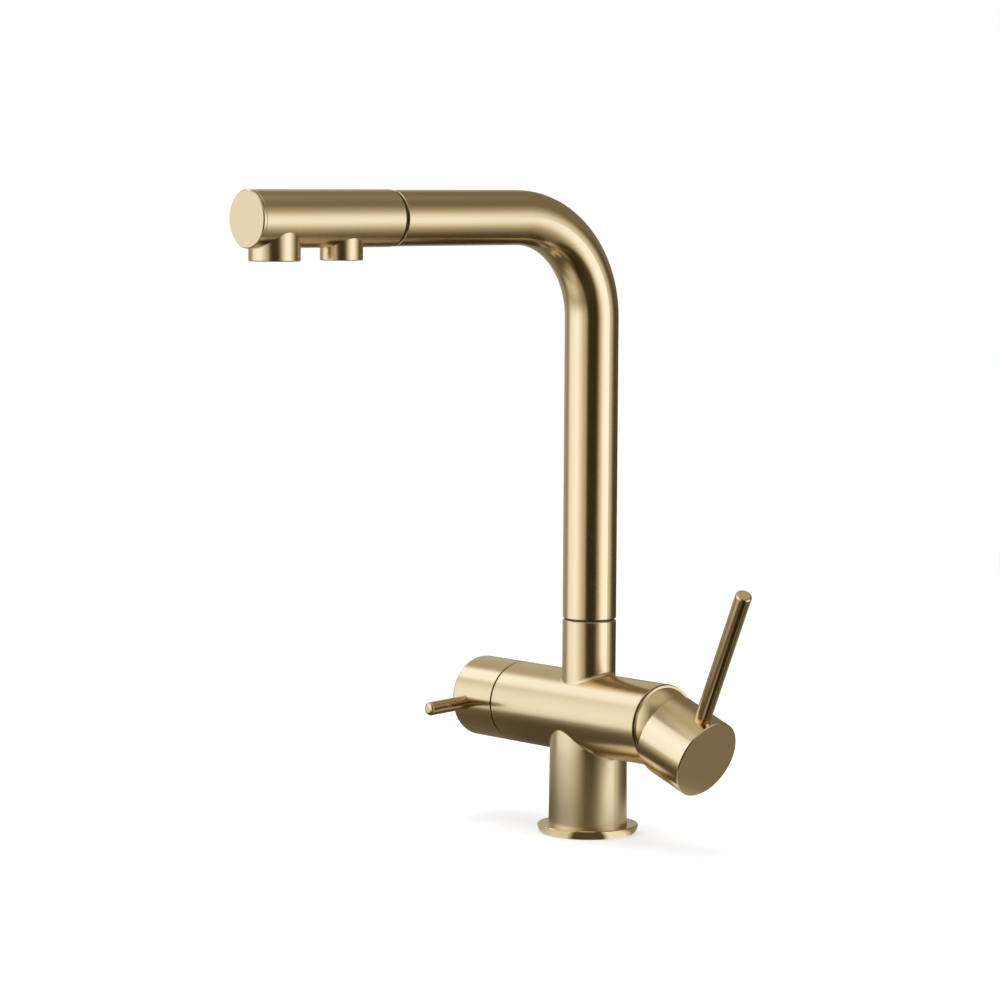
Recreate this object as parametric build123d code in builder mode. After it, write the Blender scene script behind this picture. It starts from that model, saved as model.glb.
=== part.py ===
# Three way filtered water tap for a kitchen sink.
#
# A deck-mounted mixer with a tall L spout, a mixing lever on one side and a quarter-turn
# lever for filtered water on the other. The two waters never meet: the filtered one runs
# in a tube of its own inside the spout, to an outlet of its own in the head.
#
# Millimetres. +Z is up, and z = 0 is the worktop. The Z axis is the axis of the column and
# of the spout's swivel. The spout points along -Y, the mixer is on the +X side, and the
# filtered-water lever is on the -X side. Threads are plain cylinders at their mean size.
import os
from math import asin, cos, pi, radians, sin, sqrt

from build123d import *

os.makedirs("parts", exist_ok=True)

# ------------------------------------------------------------------ fits and small edges
slip = 0.05              # radial clearance of a turning or sliding fit
seat = 0.05              # radial clearance of a glued, pressed or screwed joint
cast_gap = 0.10          # radial room round the spigot in the neck's bore
free_gap = 0.30          # gap between surfaces that pass each other and never touch
end_gap = 0.20           # room left at the ends and shoulders of pieces that are trapped
o_ring_squash = 0.05     # room left between a seal and its groove or bore
edge_break = 0.4         # chamfer on turned outside edges
hair_edge = 0.15         # finest edge break, where two flush pieces meet
overrun = 1.0            # how far a cut runs on past the surface that it goes through

# ------------------------------------------------------------------ base
flange_r = 26.4          # widest, at its top edge
flange_foot_r = 24.4     # the rim curves in to this at the worktop
flange_rim_bulge = 1.45  # how far the curve stands out from the foot part of the way up
flange_rim_mid = 1.9     # height of that place
flange_h = 4.7
flange_recess = 1.0      # depth that the column stands in the flange
hose_well_r = 16.5       # opening under the column for hoses and stud
hose_well_h = 38.0
seal_inner_r = 20.6
seal_outer_r = 23.2
seal_h = 1.6

# ------------------------------------------------------------------ body casting
column_foot_r = 20.6
column_top_r = 20.05     # where the column meets the cross tube's axis
cross_axis_z = 63.0
cross_r = 21.4
cross_left_x = -54.4
cross_right_x = 57.9
column_fillet = 1.5
neck_rise = 49.3         # top of the neck above the cross tube's axis
neck_fillet = 2.0
neck_wall = 3.0
neck_bore_depth = 30.3

# sockets in the roof of the hose well, on one circle
socket_circle_r = 9.5
hose_thread_r = 4.46     # M10 x 1 hose socket, bored to its thread's crest
hose_thread_depth = 12.0
stud_thread_r = 3.4      # M8 fixing stud socket
stud_thread_depth = 14.0

# drilled waterways: each rise is a little thinner than the run that it meets
supply_run_r = 3.0
supply_run_drop = 5.0    # hot and cold run this far below the cross tube's axis
supply_rise_r = 2.7
mixed_run_lift = 9.0     # mixed water runs this far above the axis
mixed_rise_x = 8.0
mixed_rise_r = 2.6
filter_run_r = 2.6
filter_run_drop = 2.6
filter_rise_r = 2.3
filter_socket_depth = 10.0   # from the neck bore's floor, for the filtered-water tube's foot
filter_return_r = 1.8
filter_return_lift = 11.0    # height of the way back over the valve's chamber

# ------------------------------------------------------------------ spout
spout_r = 14.0
spout_wall = 1.5
swivel_gap = 1.0         # dark line between neck and spout
arm_z = 322.0
bend_r = 52.0            # centre line of the bend
arm_end_y = -132.6
spigot_wall = 3.4
spigot_foot_lift = 2.0   # above the neck bore's floor, for the mixed water
spigot_in_tube = 11.0
spigot_seal_drops = (15.3, 9.3)      # below the neck's top
spigot_seal_depth = 1.8
spigot_seal_w = 2.4
retaining_drop = 22.3    # of the retaining screw and its groove below the neck's top
retaining_groove_depth = 1.6
retaining_groove_w = 4.2
retaining_screw_r = 2.1
retaining_screw_sunk = 0.4   # its face stands this far inside the neck
retaining_tip_r = 1.6
retaining_hex_r = 1.35
retaining_hex_depth = 1.6
washer_setback = 0.9     # of the swivel washer's rim from the spout's outside
filter_tube_r = 4.0
filter_tube_bore_r = 2.9
filter_foot_r = 3.45
filter_foot_bore_r = 1.6
filter_foot_depth = 5.6  # below the neck bore's floor
filter_cup_lift = 1.0    # the tube's end stands this far above the floor
filter_cup_depth = 9.0
filter_cup_wall = 1.5
filter_foot_seal_drop = 3.0
filter_foot_seal_depth = 1.0
filter_foot_seal_w = 1.4

# ------------------------------------------------------------------ head
head_groove = 1.8        # width of the dark groove between spout and head
head_proud = 0.25        # how much larger its radius is than the spout's
head_wall = 1.85
head_len = 87.4          # with its end cap
end_cap_t = 2.0
end_cap_plug = 5.0
end_cap_edge = 0.5
gasket_setback = 1.1
connector_step = 0.95    # from the spout's bore in to the connector's thread
connector_thread_len = 13.0
connector_in_tube = 14.0
connector_port_circle_r = 7.8
connector_port_r = 2.4
outlet_stand = 6.25      # of the outlets' rims below the head's underside
main_outlet_back = 16.8  # from the head's face to the mixed-water outlet
main_outlet_r = 12.7
main_outlet_wall = 1.35
outlet_pitch = 40.8      # from there back to the filtered-water outlet
filter_outlet_r = 10.6
filter_outlet_wall = 1.95
aerator_recess = 0.4     # how far the aerators stand back in their sockets
outlet_lip_round = 0.6
aerator_h = 6.6
aerator_rim = 1.4
aerator_lip = 0.7        # thickness of the lip that the insert lies on
aerator_lip_w = 0.5
aerator_edge = 0.3
aerator_hole_r = 0.85
aerator_hole_margin = 1.3
aerator_insert_h = 4.9

# waterway block inside the head
filter_tube_stop = 12.2  # filtered-water tube ends this far behind its outlet
bypass_circle_r = 8.6    # mixed water passes the filtered-water outlet in four channels
bypass_r = 2.2
filter_block_end = 16.0  # and they open into one space this far in front of that outlet
waterway_wall = 2.1
filter_drop_r = 3.0      # ways down into the two outlets
main_drop_r = 7.5

# ------------------------------------------------------------------ mixer cartridge
# depths are measured from the cross tube's right end
pivot_depth = 7.1        # of the pin that the lever's stem tilts on
cartridge_depth = 35.9
shoulder_depth = 10.7    # of the shoulder that the nut presses on
nut_depth = 4.9          # of the nut's outer face
collar_depth = 3.4
cartridge_r = 17.5
cartridge_seal_t = 0.8
base_plate_t = 4.2
fixed_disc_t = 4.0
moving_disc_t = 3.5
carrier_t = 3.5
ceramic_r = 13.5
moving_disc_r = 9.5
port_r = 2.8
port_seal_w = 1.2
moving_disc_rim = 3.0
moving_disc_pocket = 2.0
carrier_socket_wall = 2.2
carrier_socket_floor = 1.0
carrier_headroom = 1.6   # between the carrier's socket and the turret
collar_step = 3.2        # how much smaller the collar's radius is than the cartridge's
collar_wall = 3.1        # round the turret
turret_flange_r = 13.4
turret_flange_t = 1.4
turret_slot_len = 13.2   # long way of the slot that the stem tilts in
stem_side_gap = 0.15
stem_size = 7.0
stem_corner_r = 0.6
stem_heel = 4.2          # from the ball's centre to where the square begins
stem_end = 34.3          # from the pivot, along the stem
ball_r = 2.9
ball_gap = 0.4           # under the ball when the lever is shut
ball_neck_r = 1.6
pivot_pin_r = 1.5
nut_step = 1.1           # how much larger its radius is than the cartridge's
nut_slots = 6            # for the pin spanner
nut_slot_w = 6.2
nut_slot_in = 2.7
nut_slot_depth = 2.0

# ------------------------------------------------------------------ mixer cap and lever
lever_tilt = 22.6        # degrees that the cap's axis points below the cross tube's axis
lever_turn = 14.0        # degrees that the lever is turned towards the front
lever_lean = 11.0        # degrees that the rod leans out from square to the cap's axis
dome_r = 21.4            # ball-shaped cover, centred on the pivot
dome_wall = 1.6
skirt_wall = 1.6         # skirt that screws into the cross tube's mouth
dome_hole_r = 12.6
dome_gap = 0.8           # dark line between cross tube and cover
dome_rim_in = 0.4        # of its rim from the cross tube's outside
dome_rim_t = 0.4
dome_rim_edge = 0.15
mixer_cap_r = 20.95
mixer_cap_back = 9.7     # pivot to the cap's back rim, along its axis
mixer_cap_face = 38.9    # pivot to the cap's face
mixer_cap_bore_r = 18.6
mixer_cap_front_t = 3.3
mixer_cap_edge = 0.5
mixer_cap_back_edge = 0.35
mixer_cap_over = 0.45    # dark line between the cover's ball and the cap
mixer_cap_clear = 0.4    # between the cap's relieved rim and the cover's rim
mixer_boss_r = 8.0
mixer_boss_back = 22.6
rod_cross = 28.25        # pivot to where the rod's axis crosses the cap's axis
rod_r = 4.2
rod_end = 106.8          # from the cap's axis to the rod's tip
rod_seat = 15.0
rod_stud_r = 2.95
rod_stud_start = 9.3
rod_post_r = 6.4
rod_tip_round = 1.3
grub_point = 1.0         # length of a grub screw's cone point
grub_hex_depth = 1.8
grub_hex_share = 0.6     # its corners' radius, as a share of the screw's
mixer_grub_len = 4.9
post_sunk = 2.0          # how far a lever's post runs into the boss
post_in_wall = 0.5       # and into the cap's wall

# ------------------------------------------------------------------ filtered-water valve
# depths and stand-outs are measured from the cross tube's left end
filter_seat_depth = 26.4
filter_pocket_r = 8.0
filter_pocket_depth = 32.4
filter_chamber_r = 12.2
filter_thread_len = 10.4
headpart_thread_r = 10.45
headpart_seat_t = 0.8
headpart_foot_r = 10.3
headpart_foot_t = 2.5
headpart_waist_r = 8.8
headpart_hex = 22.0
headpart_hex_t = 4.0
headpart_nose_r = 7.0
headpart_nose_out = 11.6
headpart_window_r = 1.3  # side windows that let the filtered water out
valve_bore_r = 7.3
valve_disc_t = 3.0
rotor_disc_t = 3.5
valve_port_r = 1.9
valve_port_offset = 4.2
spindle_r = 4.0
spindle_flange_t = 3.3
spindle_out = 26.1
tongue_h = 1.5           # tongue that turns the rotor disc
tongue_w = 3.0
tongue_len = 9.0
tongue_gap = 0.1         # under its tip
filter_cap_gap = 0.7     # dark line between cross tube and cap
filter_cap_len = 31.4
filter_cap_wall = 2.4
filter_cap_front_t = 2.5
filter_cap_round = 1.2
nose_gap = 0.5           # between the headpart's nose and the cap's boss
filter_boss_r = 7.5
pin_out = 21.6
pin_dip = 3.3            # degrees that the pin points below level
pin_r = 3.6
pin_end = 46.9           # from the cross tube's axis to the pin's tip
pin_seat = 15.5
pin_stud_r = 2.45
pin_stud_start = 9.0
pin_post_r = 5.8
pin_tip_round = 1.8
filter_grub_len = 4.5

# ------------------------------------------------------------------ worked out from the above
column_foot_z = flange_h - flange_recess
neck_r = spout_r
neck_bore_r = neck_r - neck_wall
neck_top_z = cross_axis_z + neck_rise
neck_bore_floor_z = neck_top_z - neck_bore_depth
retaining_z = neck_top_z - retaining_drop

spout_foot_z = neck_top_z + swivel_gap
spout_bore_r = spout_r - spout_wall
spigot_r = neck_bore_r - cast_gap
spigot_bore_r = spigot_r - spigot_wall
spigot_foot_z = neck_bore_floor_z + spigot_foot_lift
retaining_groove_r = spigot_r - retaining_groove_depth

head_start_y = arm_end_y - head_groove
head_face_y = head_start_y - head_len
end_cap_y = head_face_y + end_cap_t
head_r = spout_r + head_proud
head_bore_r = head_r - head_wall
connector_thread_r = spout_bore_r - connector_step
outlet_foot_z = arm_z - head_r - outlet_stand
main_outlet_y = head_face_y + main_outlet_back
main_thread_r = main_outlet_r - main_outlet_wall
filter_outlet_y = main_outlet_y + outlet_pitch
filter_thread_r = filter_outlet_r - filter_outlet_wall
filter_end_y = filter_outlet_y + filter_tube_stop
insert_start_y = arm_end_y - connector_thread_len

pivot_x = cross_right_x - pivot_depth
cartridge_seat_x = cross_right_x - cartridge_depth
shoulder_x = cross_right_x - shoulder_depth
nut_end_x = cross_right_x - nut_depth
collar_end_x = cross_right_x - collar_depth
nut_r = cartridge_r + nut_step
collar_r = cartridge_r - collar_step
turret_r = collar_r - collar_wall
cartridge_base_x = cartridge_seat_x + cartridge_seal_t
fixed_disc_x = cartridge_base_x + base_plate_t
moving_disc_x = fixed_disc_x + fixed_disc_t
carrier_x = moving_disc_x + moving_disc_t
carrier_top_x = carrier_x + carrier_t
turret_foot_x = shoulder_x - end_gap - turret_flange_t
ball_arm = pivot_x - carrier_top_x - carrier_socket_floor - ball_gap - ball_r
dome_rim_r = cross_r - dome_rim_in

filter_seat_x = cross_left_x + filter_seat_depth
filter_pocket_x = cross_left_x + filter_pocket_depth
filter_thread_x = cross_left_x + filter_thread_len
headpart_nose_x = cross_left_x - headpart_nose_out
spindle_end_x = cross_left_x - spindle_out
filter_cap_start_x = cross_left_x - filter_cap_gap
filter_cap_end_x = filter_cap_start_x - filter_cap_len
filter_cap_bore_r = cross_r - filter_cap_wall
pin_x = cross_left_x - pin_out
socket_xy = socket_circle_r * cos(radians(45))
hose_socket_top_z = hose_well_h + hose_thread_depth

tilt = radians(lever_tilt)
turn = radians(lever_turn)
lean = radians(lever_lean)
pivot = Vector(pivot_x, 0, cross_axis_z)
upright = Vector(0, -sin(turn), cos(turn))                   # the lever's side, square to the tube
cap_axis = Vector(cos(tilt), sin(tilt) * sin(turn), -sin(tilt) * cos(turn))
cap_up = Vector(sin(tilt), -cos(tilt) * sin(turn), cos(tilt) * cos(turn))
rod_axis = cap_up * cos(lean) + cap_axis * sin(lean)
pin_axis = Vector(0, -cos(radians(pin_dip)), -sin(radians(pin_dip)))

# along the cross tube: local x is +Y, local y is +Z, and the plane's height is x
cross_plane = Plane(origin=(0, 0, cross_axis_z), x_dir=(0, 1, 0), z_dir=(1, 0, 0))
# half section of what is turned about the cross tube: local x is +X, local y is the radius
cross_section = Plane(origin=(0, 0, cross_axis_z), x_dir=(1, 0, 0), z_dir=(0, -1, 0))
cross_axis = Axis((0, 0, cross_axis_z), (1, 0, 0))
# along the spout arm, looking back from the head: the plane's height is -y
arm_plane = Plane(origin=(0, 0, arm_z), x_dir=(1, 0, 0), z_dir=(0, -1, 0))
# across the cartridge, turned with the lever: local x is the lever's side
turret_plane = Plane(origin=pivot, x_dir=upright, z_dir=(1, 0, 0))
# along the pin that the stem tilts on
tilt_pin_plane = Plane(origin=pivot, x_dir=(1, 0, 0), z_dir=turret_plane.y_dir)
cap_plane = Plane(origin=pivot, x_dir=cap_up, z_dir=cap_axis)
cap_section = Plane(origin=pivot, x_dir=cap_axis, z_dir=cap_axis.cross(cap_up))
cap_centre_line = Axis(pivot, cap_axis)
rod_foot = pivot + cap_axis * rod_cross
rod_plane = Plane(origin=rod_foot, x_dir=cap_axis.cross(cap_up), z_dir=rod_axis)
pin_plane = Plane(origin=(pin_x, 0, cross_axis_z), x_dir=(1, 0, 0), z_dir=pin_axis)


def ring_at(plane, outer_r, inner_r, thickness):
    """A flat ring that stands on the plane."""
    with BuildPart() as ring:
        with BuildSketch(plane):
            Circle(outer_r)
            Circle(inner_r, mode=Mode.SUBTRACT)
        extrude(amount=thickness)
    return ring.part


def seal_ring(plane, groove_r, bore_r):
    """An O-ring between the bottom of a groove and the bore round it, lying in the plane."""
    cord_r = (bore_r - groove_r) / 2 - o_ring_squash
    return plane * Torus((bore_r + groove_r) / 2, cord_r)


def save(part, name):
    """Label one piece and write it to its own file."""
    part.label = name
    export_step(part, f"parts/{name}.step")


# ================================================================== base
with BuildPart() as base_flange:
    with BuildSketch(Plane.XZ):
        with BuildLine():
            foot = (flange_foot_r, 0)
            brow = (flange_r, flange_h - edge_break)
            Line((hose_well_r, 0), foot)
            ThreePointArc(foot, (flange_foot_r + flange_rim_bulge, flange_rim_mid), brow)
            Line(brow, (flange_r - edge_break, flange_h))
            Line((flange_r - edge_break, flange_h), (hose_well_r, flange_h))
            Line((hose_well_r, flange_h), (hose_well_r, 0))
        make_face()
    revolve(axis=Axis.Z)
    with BuildSketch(Plane.XY.offset(column_foot_z)):
        Circle(column_foot_r + seat)
    extrude(amount=flange_h, mode=Mode.SUBTRACT)
    with BuildSketch(Plane.XY):
        Circle(seal_outer_r + seat)
        Circle(seal_inner_r - seat, mode=Mode.SUBTRACT)
    extrude(amount=seal_h + seat, mode=Mode.SUBTRACT)
save(base_flange.part, "base_flange")

save(ring_at(Plane.XY, seal_outer_r, seal_inner_r, seal_h), "base_seal")

# ================================================================== body casting
with BuildPart() as body_casting:
    with BuildSketch(Plane.XZ):
        with BuildLine():
            Polyline(
                (0, column_foot_z),
                (column_foot_r, column_foot_z),
                (column_top_r, cross_axis_z),
                (0, cross_axis_z),
                close=True,
            )
        make_face()
    revolve(axis=Axis.Z)
    with BuildSketch(Plane.XY.offset(cross_axis_z)):
        Circle(neck_r)
    extrude(amount=neck_top_z - cross_axis_z)
    chamfer(edges().group_by(Axis.Z)[-1], edge_break)
    with BuildSketch(cross_plane.offset(cross_left_x)):
        Circle(cross_r)
    extrude(amount=cross_right_x - cross_left_x)
    ends = edges().filter_by(GeomType.CIRCLE).group_by(Axis.X)
    chamfer(ends[0] + ends[-1], edge_break)
    saddle = (
        edges()
        .filter_by(GeomType.CIRCLE, reverse=True)
        .filter_by(lambda e: e.center().Z > cross_axis_z and e.length > neck_r)
    )
    fillet(saddle, neck_fillet)
    crotch = (
        edges()
        .filter_by(GeomType.CIRCLE, reverse=True)
        .filter_by(lambda e: column_foot_z + neck_r < e.center().Z < cross_axis_z)
    )
    fillet(crotch, column_fillet)

    # hose well and the sockets in its roof
    with BuildSketch(Plane.XY.offset(column_foot_z)):
        Circle(hose_well_r)
    extrude(amount=hose_well_h - column_foot_z, mode=Mode.SUBTRACT)
    with BuildSketch(Plane.XY.offset(hose_well_h)):
        with PolarLocations(socket_circle_r, 3, start_angle=-45, angular_range=270):
            Circle(hose_thread_r)
    extrude(amount=hose_thread_depth, mode=Mode.SUBTRACT)
    with BuildSketch(Plane.XY.offset(hose_well_h)):
        with PolarLocations(socket_circle_r, 1, start_angle=225):
            Circle(stud_thread_r)
    extrude(amount=stud_thread_depth, mode=Mode.SUBTRACT)

    # neck bore, and the filtered-water socket in its floor
    with BuildSketch(Plane.XY.offset(neck_bore_floor_z)):
        Circle(neck_bore_r)
    extrude(amount=neck_top_z, mode=Mode.SUBTRACT)
    with BuildSketch(Plane.XY.offset(neck_bore_floor_z - filter_socket_depth)):
        Circle(filter_foot_r + cast_gap)
    extrude(amount=neck_bore_floor_z, mode=Mode.SUBTRACT)

    # retaining screw at the back of the neck
    with BuildSketch(Plane.XZ.offset(-neck_r)):
        with Locations((0, retaining_z)):
            Circle(retaining_screw_r)
    extrude(amount=neck_r - neck_bore_r + overrun, mode=Mode.SUBTRACT)

    # mixer side: cartridge chamber and the wider thread at its mouth
    with BuildSketch(cross_plane.offset(cartridge_seat_x)):
        Circle(cartridge_r + cast_gap)
    extrude(amount=cross_right_x, mode=Mode.SUBTRACT)
    with BuildSketch(cross_plane.offset(shoulder_x)):
        Circle(nut_r + seat)
    extrude(amount=cross_right_x, mode=Mode.SUBTRACT)

    # filter side: pocket under the seat, chamber, and thread at the mouth
    with BuildSketch(cross_plane.offset(filter_pocket_x)):
        Circle(filter_pocket_r)
    extrude(amount=cross_left_x, mode=Mode.SUBTRACT)
    with BuildSketch(cross_plane.offset(filter_seat_x)):
        Circle(filter_chamber_r)
    extrude(amount=filter_thread_x - filter_seat_x, mode=Mode.SUBTRACT)
    with BuildSketch(cross_plane.offset(filter_seat_x)):
        Circle(headpart_thread_r + seat)
    extrude(amount=cross_left_x, mode=Mode.SUBTRACT)

    # hot and cold rise from their sockets and run to the cartridge
    with BuildSketch(Plane.XY.offset(hose_socket_top_z)):
        with Locations((socket_xy, socket_xy), (socket_xy, -socket_xy)):
            Circle(supply_rise_r)
    extrude(amount=cross_axis_z - supply_run_drop - hose_socket_top_z + overrun, mode=Mode.SUBTRACT)
    with BuildSketch(cross_plane.offset(cartridge_seat_x)):
        with Locations((socket_xy, -supply_run_drop), (-socket_xy, -supply_run_drop)):
            Circle(supply_run_r)
    extrude(amount=socket_xy - cartridge_seat_x - overrun, mode=Mode.SUBTRACT)

    # mixed water runs back to the neck and up beside the filtered-water socket
    with BuildSketch(cross_plane.offset(cartridge_seat_x)):
        with Locations((0, mixed_run_lift)):
            Circle(supply_run_r)
    extrude(amount=mixed_rise_x - cartridge_seat_x - overrun, mode=Mode.SUBTRACT)
    with BuildSketch(Plane.XY.offset(cross_axis_z + mixed_run_lift - overrun)):
        with Locations((mixed_rise_x, 0)):
            Circle(mixed_rise_r)
    extrude(amount=neck_bore_floor_z - cross_axis_z - mixed_run_lift + overrun, mode=Mode.SUBTRACT)

    # filtered water rises, runs to the pocket, and comes back over the top of the chamber
    with BuildSketch(Plane.XY.offset(hose_socket_top_z)):
        with Locations((-socket_xy, socket_xy)):
            Circle(filter_rise_r)
    extrude(amount=cross_axis_z - filter_run_drop - hose_socket_top_z + overrun, mode=Mode.SUBTRACT)
    with BuildSketch(cross_plane.offset(overrun - socket_xy)):
        with Locations((socket_xy, -filter_run_drop)):
            Circle(filter_run_r)
    extrude(amount=filter_pocket_x + socket_xy - 2 * overrun, mode=Mode.SUBTRACT)
    with BuildSketch(cross_plane):
        with Locations((0, filter_return_lift)):
            Circle(filter_return_r)
    extrude(amount=filter_seat_x - 3 * overrun, mode=Mode.SUBTRACT)
save(body_casting.part, "body_casting")

with BuildPart() as spout_retaining_screw:
    screw_face_y = neck_r - retaining_screw_sunk
    with BuildSketch(Plane.XZ.offset(-screw_face_y)):
        with Locations((0, retaining_z)):
            Circle(retaining_screw_r - seat)
    extrude(amount=screw_face_y - neck_bore_r - end_gap)
    with BuildSketch(Plane.XZ.offset(-neck_bore_r - end_gap)):
        with Locations((0, retaining_z)):
            Circle(retaining_tip_r)
    extrude(amount=neck_bore_r + end_gap - retaining_groove_r - free_gap)
    with BuildSketch(Plane.XZ.offset(-screw_face_y)):
        with Locations((0, retaining_z)):
            RegularPolygon(retaining_hex_r, 6)
    extrude(amount=retaining_hex_depth, mode=Mode.SUBTRACT)
save(spout_retaining_screw.part, "spout_retaining_screw")

washer_plane = Plane.XY.offset(neck_top_z)
swivel_washer = ring_at(washer_plane, spout_r - washer_setback, neck_bore_r + end_gap, swivel_gap)
save(swivel_washer, "swivel_washer")

# ================================================================== spout
with BuildPart() as spout_tube:
    with BuildLine() as spout_path:
        rise = Line((0, 0, spout_foot_z), (0, 0, arm_z - bend_r))
        corner = ThreePointArc(
            rise @ 1,
            (0, -bend_r * (1 - cos(pi / 4)), arm_z - bend_r * (1 - sin(pi / 4))),
            (0, -bend_r, arm_z),
        )
        Line(corner @ 1, (0, arm_end_y, arm_z))
    with BuildSketch(Plane.XY.offset(spout_foot_z)):
        Circle(spout_r)
        Circle(spout_bore_r, mode=Mode.SUBTRACT)
    sweep(path=spout_path.wires()[0])
    foot_edge = edges().group_by(Axis.Z)[0].sort_by(SortBy.RADIUS)[-1]
    end_edge = edges().group_by(Axis.Y)[0].sort_by(SortBy.RADIUS)[-1]
    chamfer([foot_edge, end_edge], edge_break)
save(spout_tube.part, "spout_tube")

with BuildPart() as spout_spigot:
    with BuildSketch(Plane.XZ):
        with BuildLine():
            Polyline(
                (spigot_bore_r, spigot_foot_z),
                (spigot_r, spigot_foot_z),
                (spigot_r, spout_foot_z),
                (spout_bore_r - seat, spout_foot_z),
                (spout_bore_r - seat, spout_foot_z + spigot_in_tube),
                (spigot_bore_r, spout_foot_z + spigot_in_tube),
                close=True,
            )
        make_face()
    revolve(axis=Axis.Z)
    seal_groove_r = spigot_r - spigot_seal_depth
    for drop in spigot_seal_drops:
        with BuildSketch(Plane.XY.offset(neck_top_z - drop - spigot_seal_w / 2)):
            Circle(spigot_r + overrun)
            Circle(seal_groove_r, mode=Mode.SUBTRACT)
        extrude(amount=spigot_seal_w, mode=Mode.SUBTRACT)
    with BuildSketch(Plane.XY.offset(retaining_z - retaining_groove_w / 2)):
        Circle(spigot_r + overrun)
        Circle(retaining_groove_r, mode=Mode.SUBTRACT)
    extrude(amount=retaining_groove_w, mode=Mode.SUBTRACT)
save(spout_spigot.part, "spout_spigot")

spigot_seals = [
    seal_ring(Plane.XY.offset(neck_top_z - drop), seal_groove_r, neck_bore_r)
    for drop in spigot_seal_drops
]
save(Compound(spigot_seals), "spout_o_rings")

with BuildPart() as filter_tube_foot:
    cup_floor_z = neck_bore_floor_z + filter_cup_lift
    cup_top_z = cup_floor_z + filter_cup_depth
    foot_z = neck_bore_floor_z - filter_foot_depth
    with BuildSketch(Plane.XZ):
        with BuildLine():
            Polyline(
                (filter_foot_bore_r, foot_z),
                (filter_foot_r, foot_z),
                (filter_foot_r, neck_bore_floor_z + free_gap),
                (filter_tube_r + filter_cup_wall, neck_bore_floor_z + free_gap),
                (filter_tube_r + filter_cup_wall, cup_top_z),
                (filter_tube_r + seat, cup_top_z),
                (filter_tube_r + seat, cup_floor_z),
                (filter_foot_bore_r, cup_floor_z),
                close=True,
            )
        make_face()
    revolve(axis=Axis.Z)
    foot_groove_r = filter_foot_r - filter_foot_seal_depth
    foot_seal_z = neck_bore_floor_z - filter_foot_seal_drop
    with BuildSketch(Plane.XY.offset(foot_seal_z - filter_foot_seal_w / 2)):
        Circle(filter_foot_r + overrun)
        Circle(foot_groove_r, mode=Mode.SUBTRACT)
    extrude(amount=filter_foot_seal_w, mode=Mode.SUBTRACT)
save(filter_tube_foot.part, "filter_tube_foot")

foot_seal = seal_ring(Plane.XY.offset(foot_seal_z), foot_groove_r, filter_foot_r + cast_gap)
save(foot_seal, "filter_tube_o_ring")

with BuildPart() as filter_tube:
    with BuildLine() as tube_path:
        tube_rise = Line((0, 0, cup_floor_z), (0, 0, arm_z - bend_r))
        tube_corner = ThreePointArc(
            tube_rise @ 1,
            (0, -bend_r * (1 - cos(pi / 4)), arm_z - bend_r * (1 - sin(pi / 4))),
            (0, -bend_r, arm_z),
        )
        Line(tube_corner @ 1, (0, filter_end_y, arm_z))
    with BuildSketch(Plane.XY.offset(cup_floor_z)):
        Circle(filter_tube_r)
        Circle(filter_tube_bore_r, mode=Mode.SUBTRACT)
    sweep(path=tube_path.wires()[0])
save(filter_tube.part, "filter_tube")

# ================================================================== head
with BuildPart() as head_connector:
    with BuildSketch(arm_plane.offset(-arm_end_y - connector_in_tube)):
        Circle(spout_bore_r - seat)
    extrude(amount=connector_in_tube)
    with BuildSketch(arm_plane.offset(-arm_end_y)):
        Circle(connector_thread_r)
    extrude(amount=connector_thread_len)
    with BuildSketch(arm_plane.offset(-arm_end_y - connector_in_tube)):
        Circle(filter_tube_r + seat)
        with PolarLocations(connector_port_circle_r, 4, start_angle=45):
            Circle(connector_port_r)
    extrude(amount=connector_in_tube + connector_thread_len, mode=Mode.SUBTRACT)
save(head_connector.part, "head_connector")

gasket_plane = arm_plane.offset(-arm_end_y)
head_gasket = ring_at(gasket_plane, head_r - gasket_setback, connector_thread_r + seat, head_groove)
save(head_gasket, "head_gasket")

with BuildPart() as head_shell:
    with BuildSketch(arm_plane.offset(-head_start_y)):
        Circle(head_r)
    extrude(amount=head_start_y - end_cap_y)
    rim_back = edges().group_by(Axis.Y)[-1]
    rim_front = edges().group_by(Axis.Y)[0]
    chamfer(rim_back, edge_break)
    chamfer(rim_front, hair_edge)
    with BuildSketch(Plane.XY.offset(outlet_foot_z)):
        with Locations((0, main_outlet_y)):
            Circle(main_outlet_r)
        with Locations((0, filter_outlet_y)):
            Circle(filter_outlet_r)
    extrude(amount=arm_z - outlet_foot_z)
    fillet(edges().group_by(Axis.Z)[0], outlet_lip_round)
    with BuildSketch(arm_plane.offset(-head_start_y)):
        Circle(connector_thread_r + seat)
    extrude(amount=head_start_y - end_cap_y, mode=Mode.SUBTRACT)
    with BuildSketch(arm_plane.offset(-insert_start_y)):
        Circle(head_bore_r)
    extrude(amount=insert_start_y - end_cap_y, mode=Mode.SUBTRACT)
    with BuildSketch(Plane.XY.offset(outlet_foot_z)):
        with Locations((0, main_outlet_y)):
            Circle(main_thread_r)
        with Locations((0, filter_outlet_y)):
            Circle(filter_thread_r)
    extrude(amount=arm_z - outlet_foot_z, mode=Mode.SUBTRACT)
save(head_shell.part, "head_shell")

with BuildPart() as head_end_cap:
    with BuildSketch(arm_plane.offset(-end_cap_y)):
        Circle(head_r)
    extrude(amount=end_cap_t)
    chamfer(edges().group_by(Axis.Y)[0], end_cap_edge)
    chamfer(edges().group_by(Axis.Y)[-1], hair_edge)
    with BuildSketch(arm_plane.offset(-end_cap_y - end_cap_plug)):
        Circle(head_bore_r - seat)
    extrude(amount=end_cap_plug)
save(head_end_cap.part, "head_end_cap")

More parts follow.
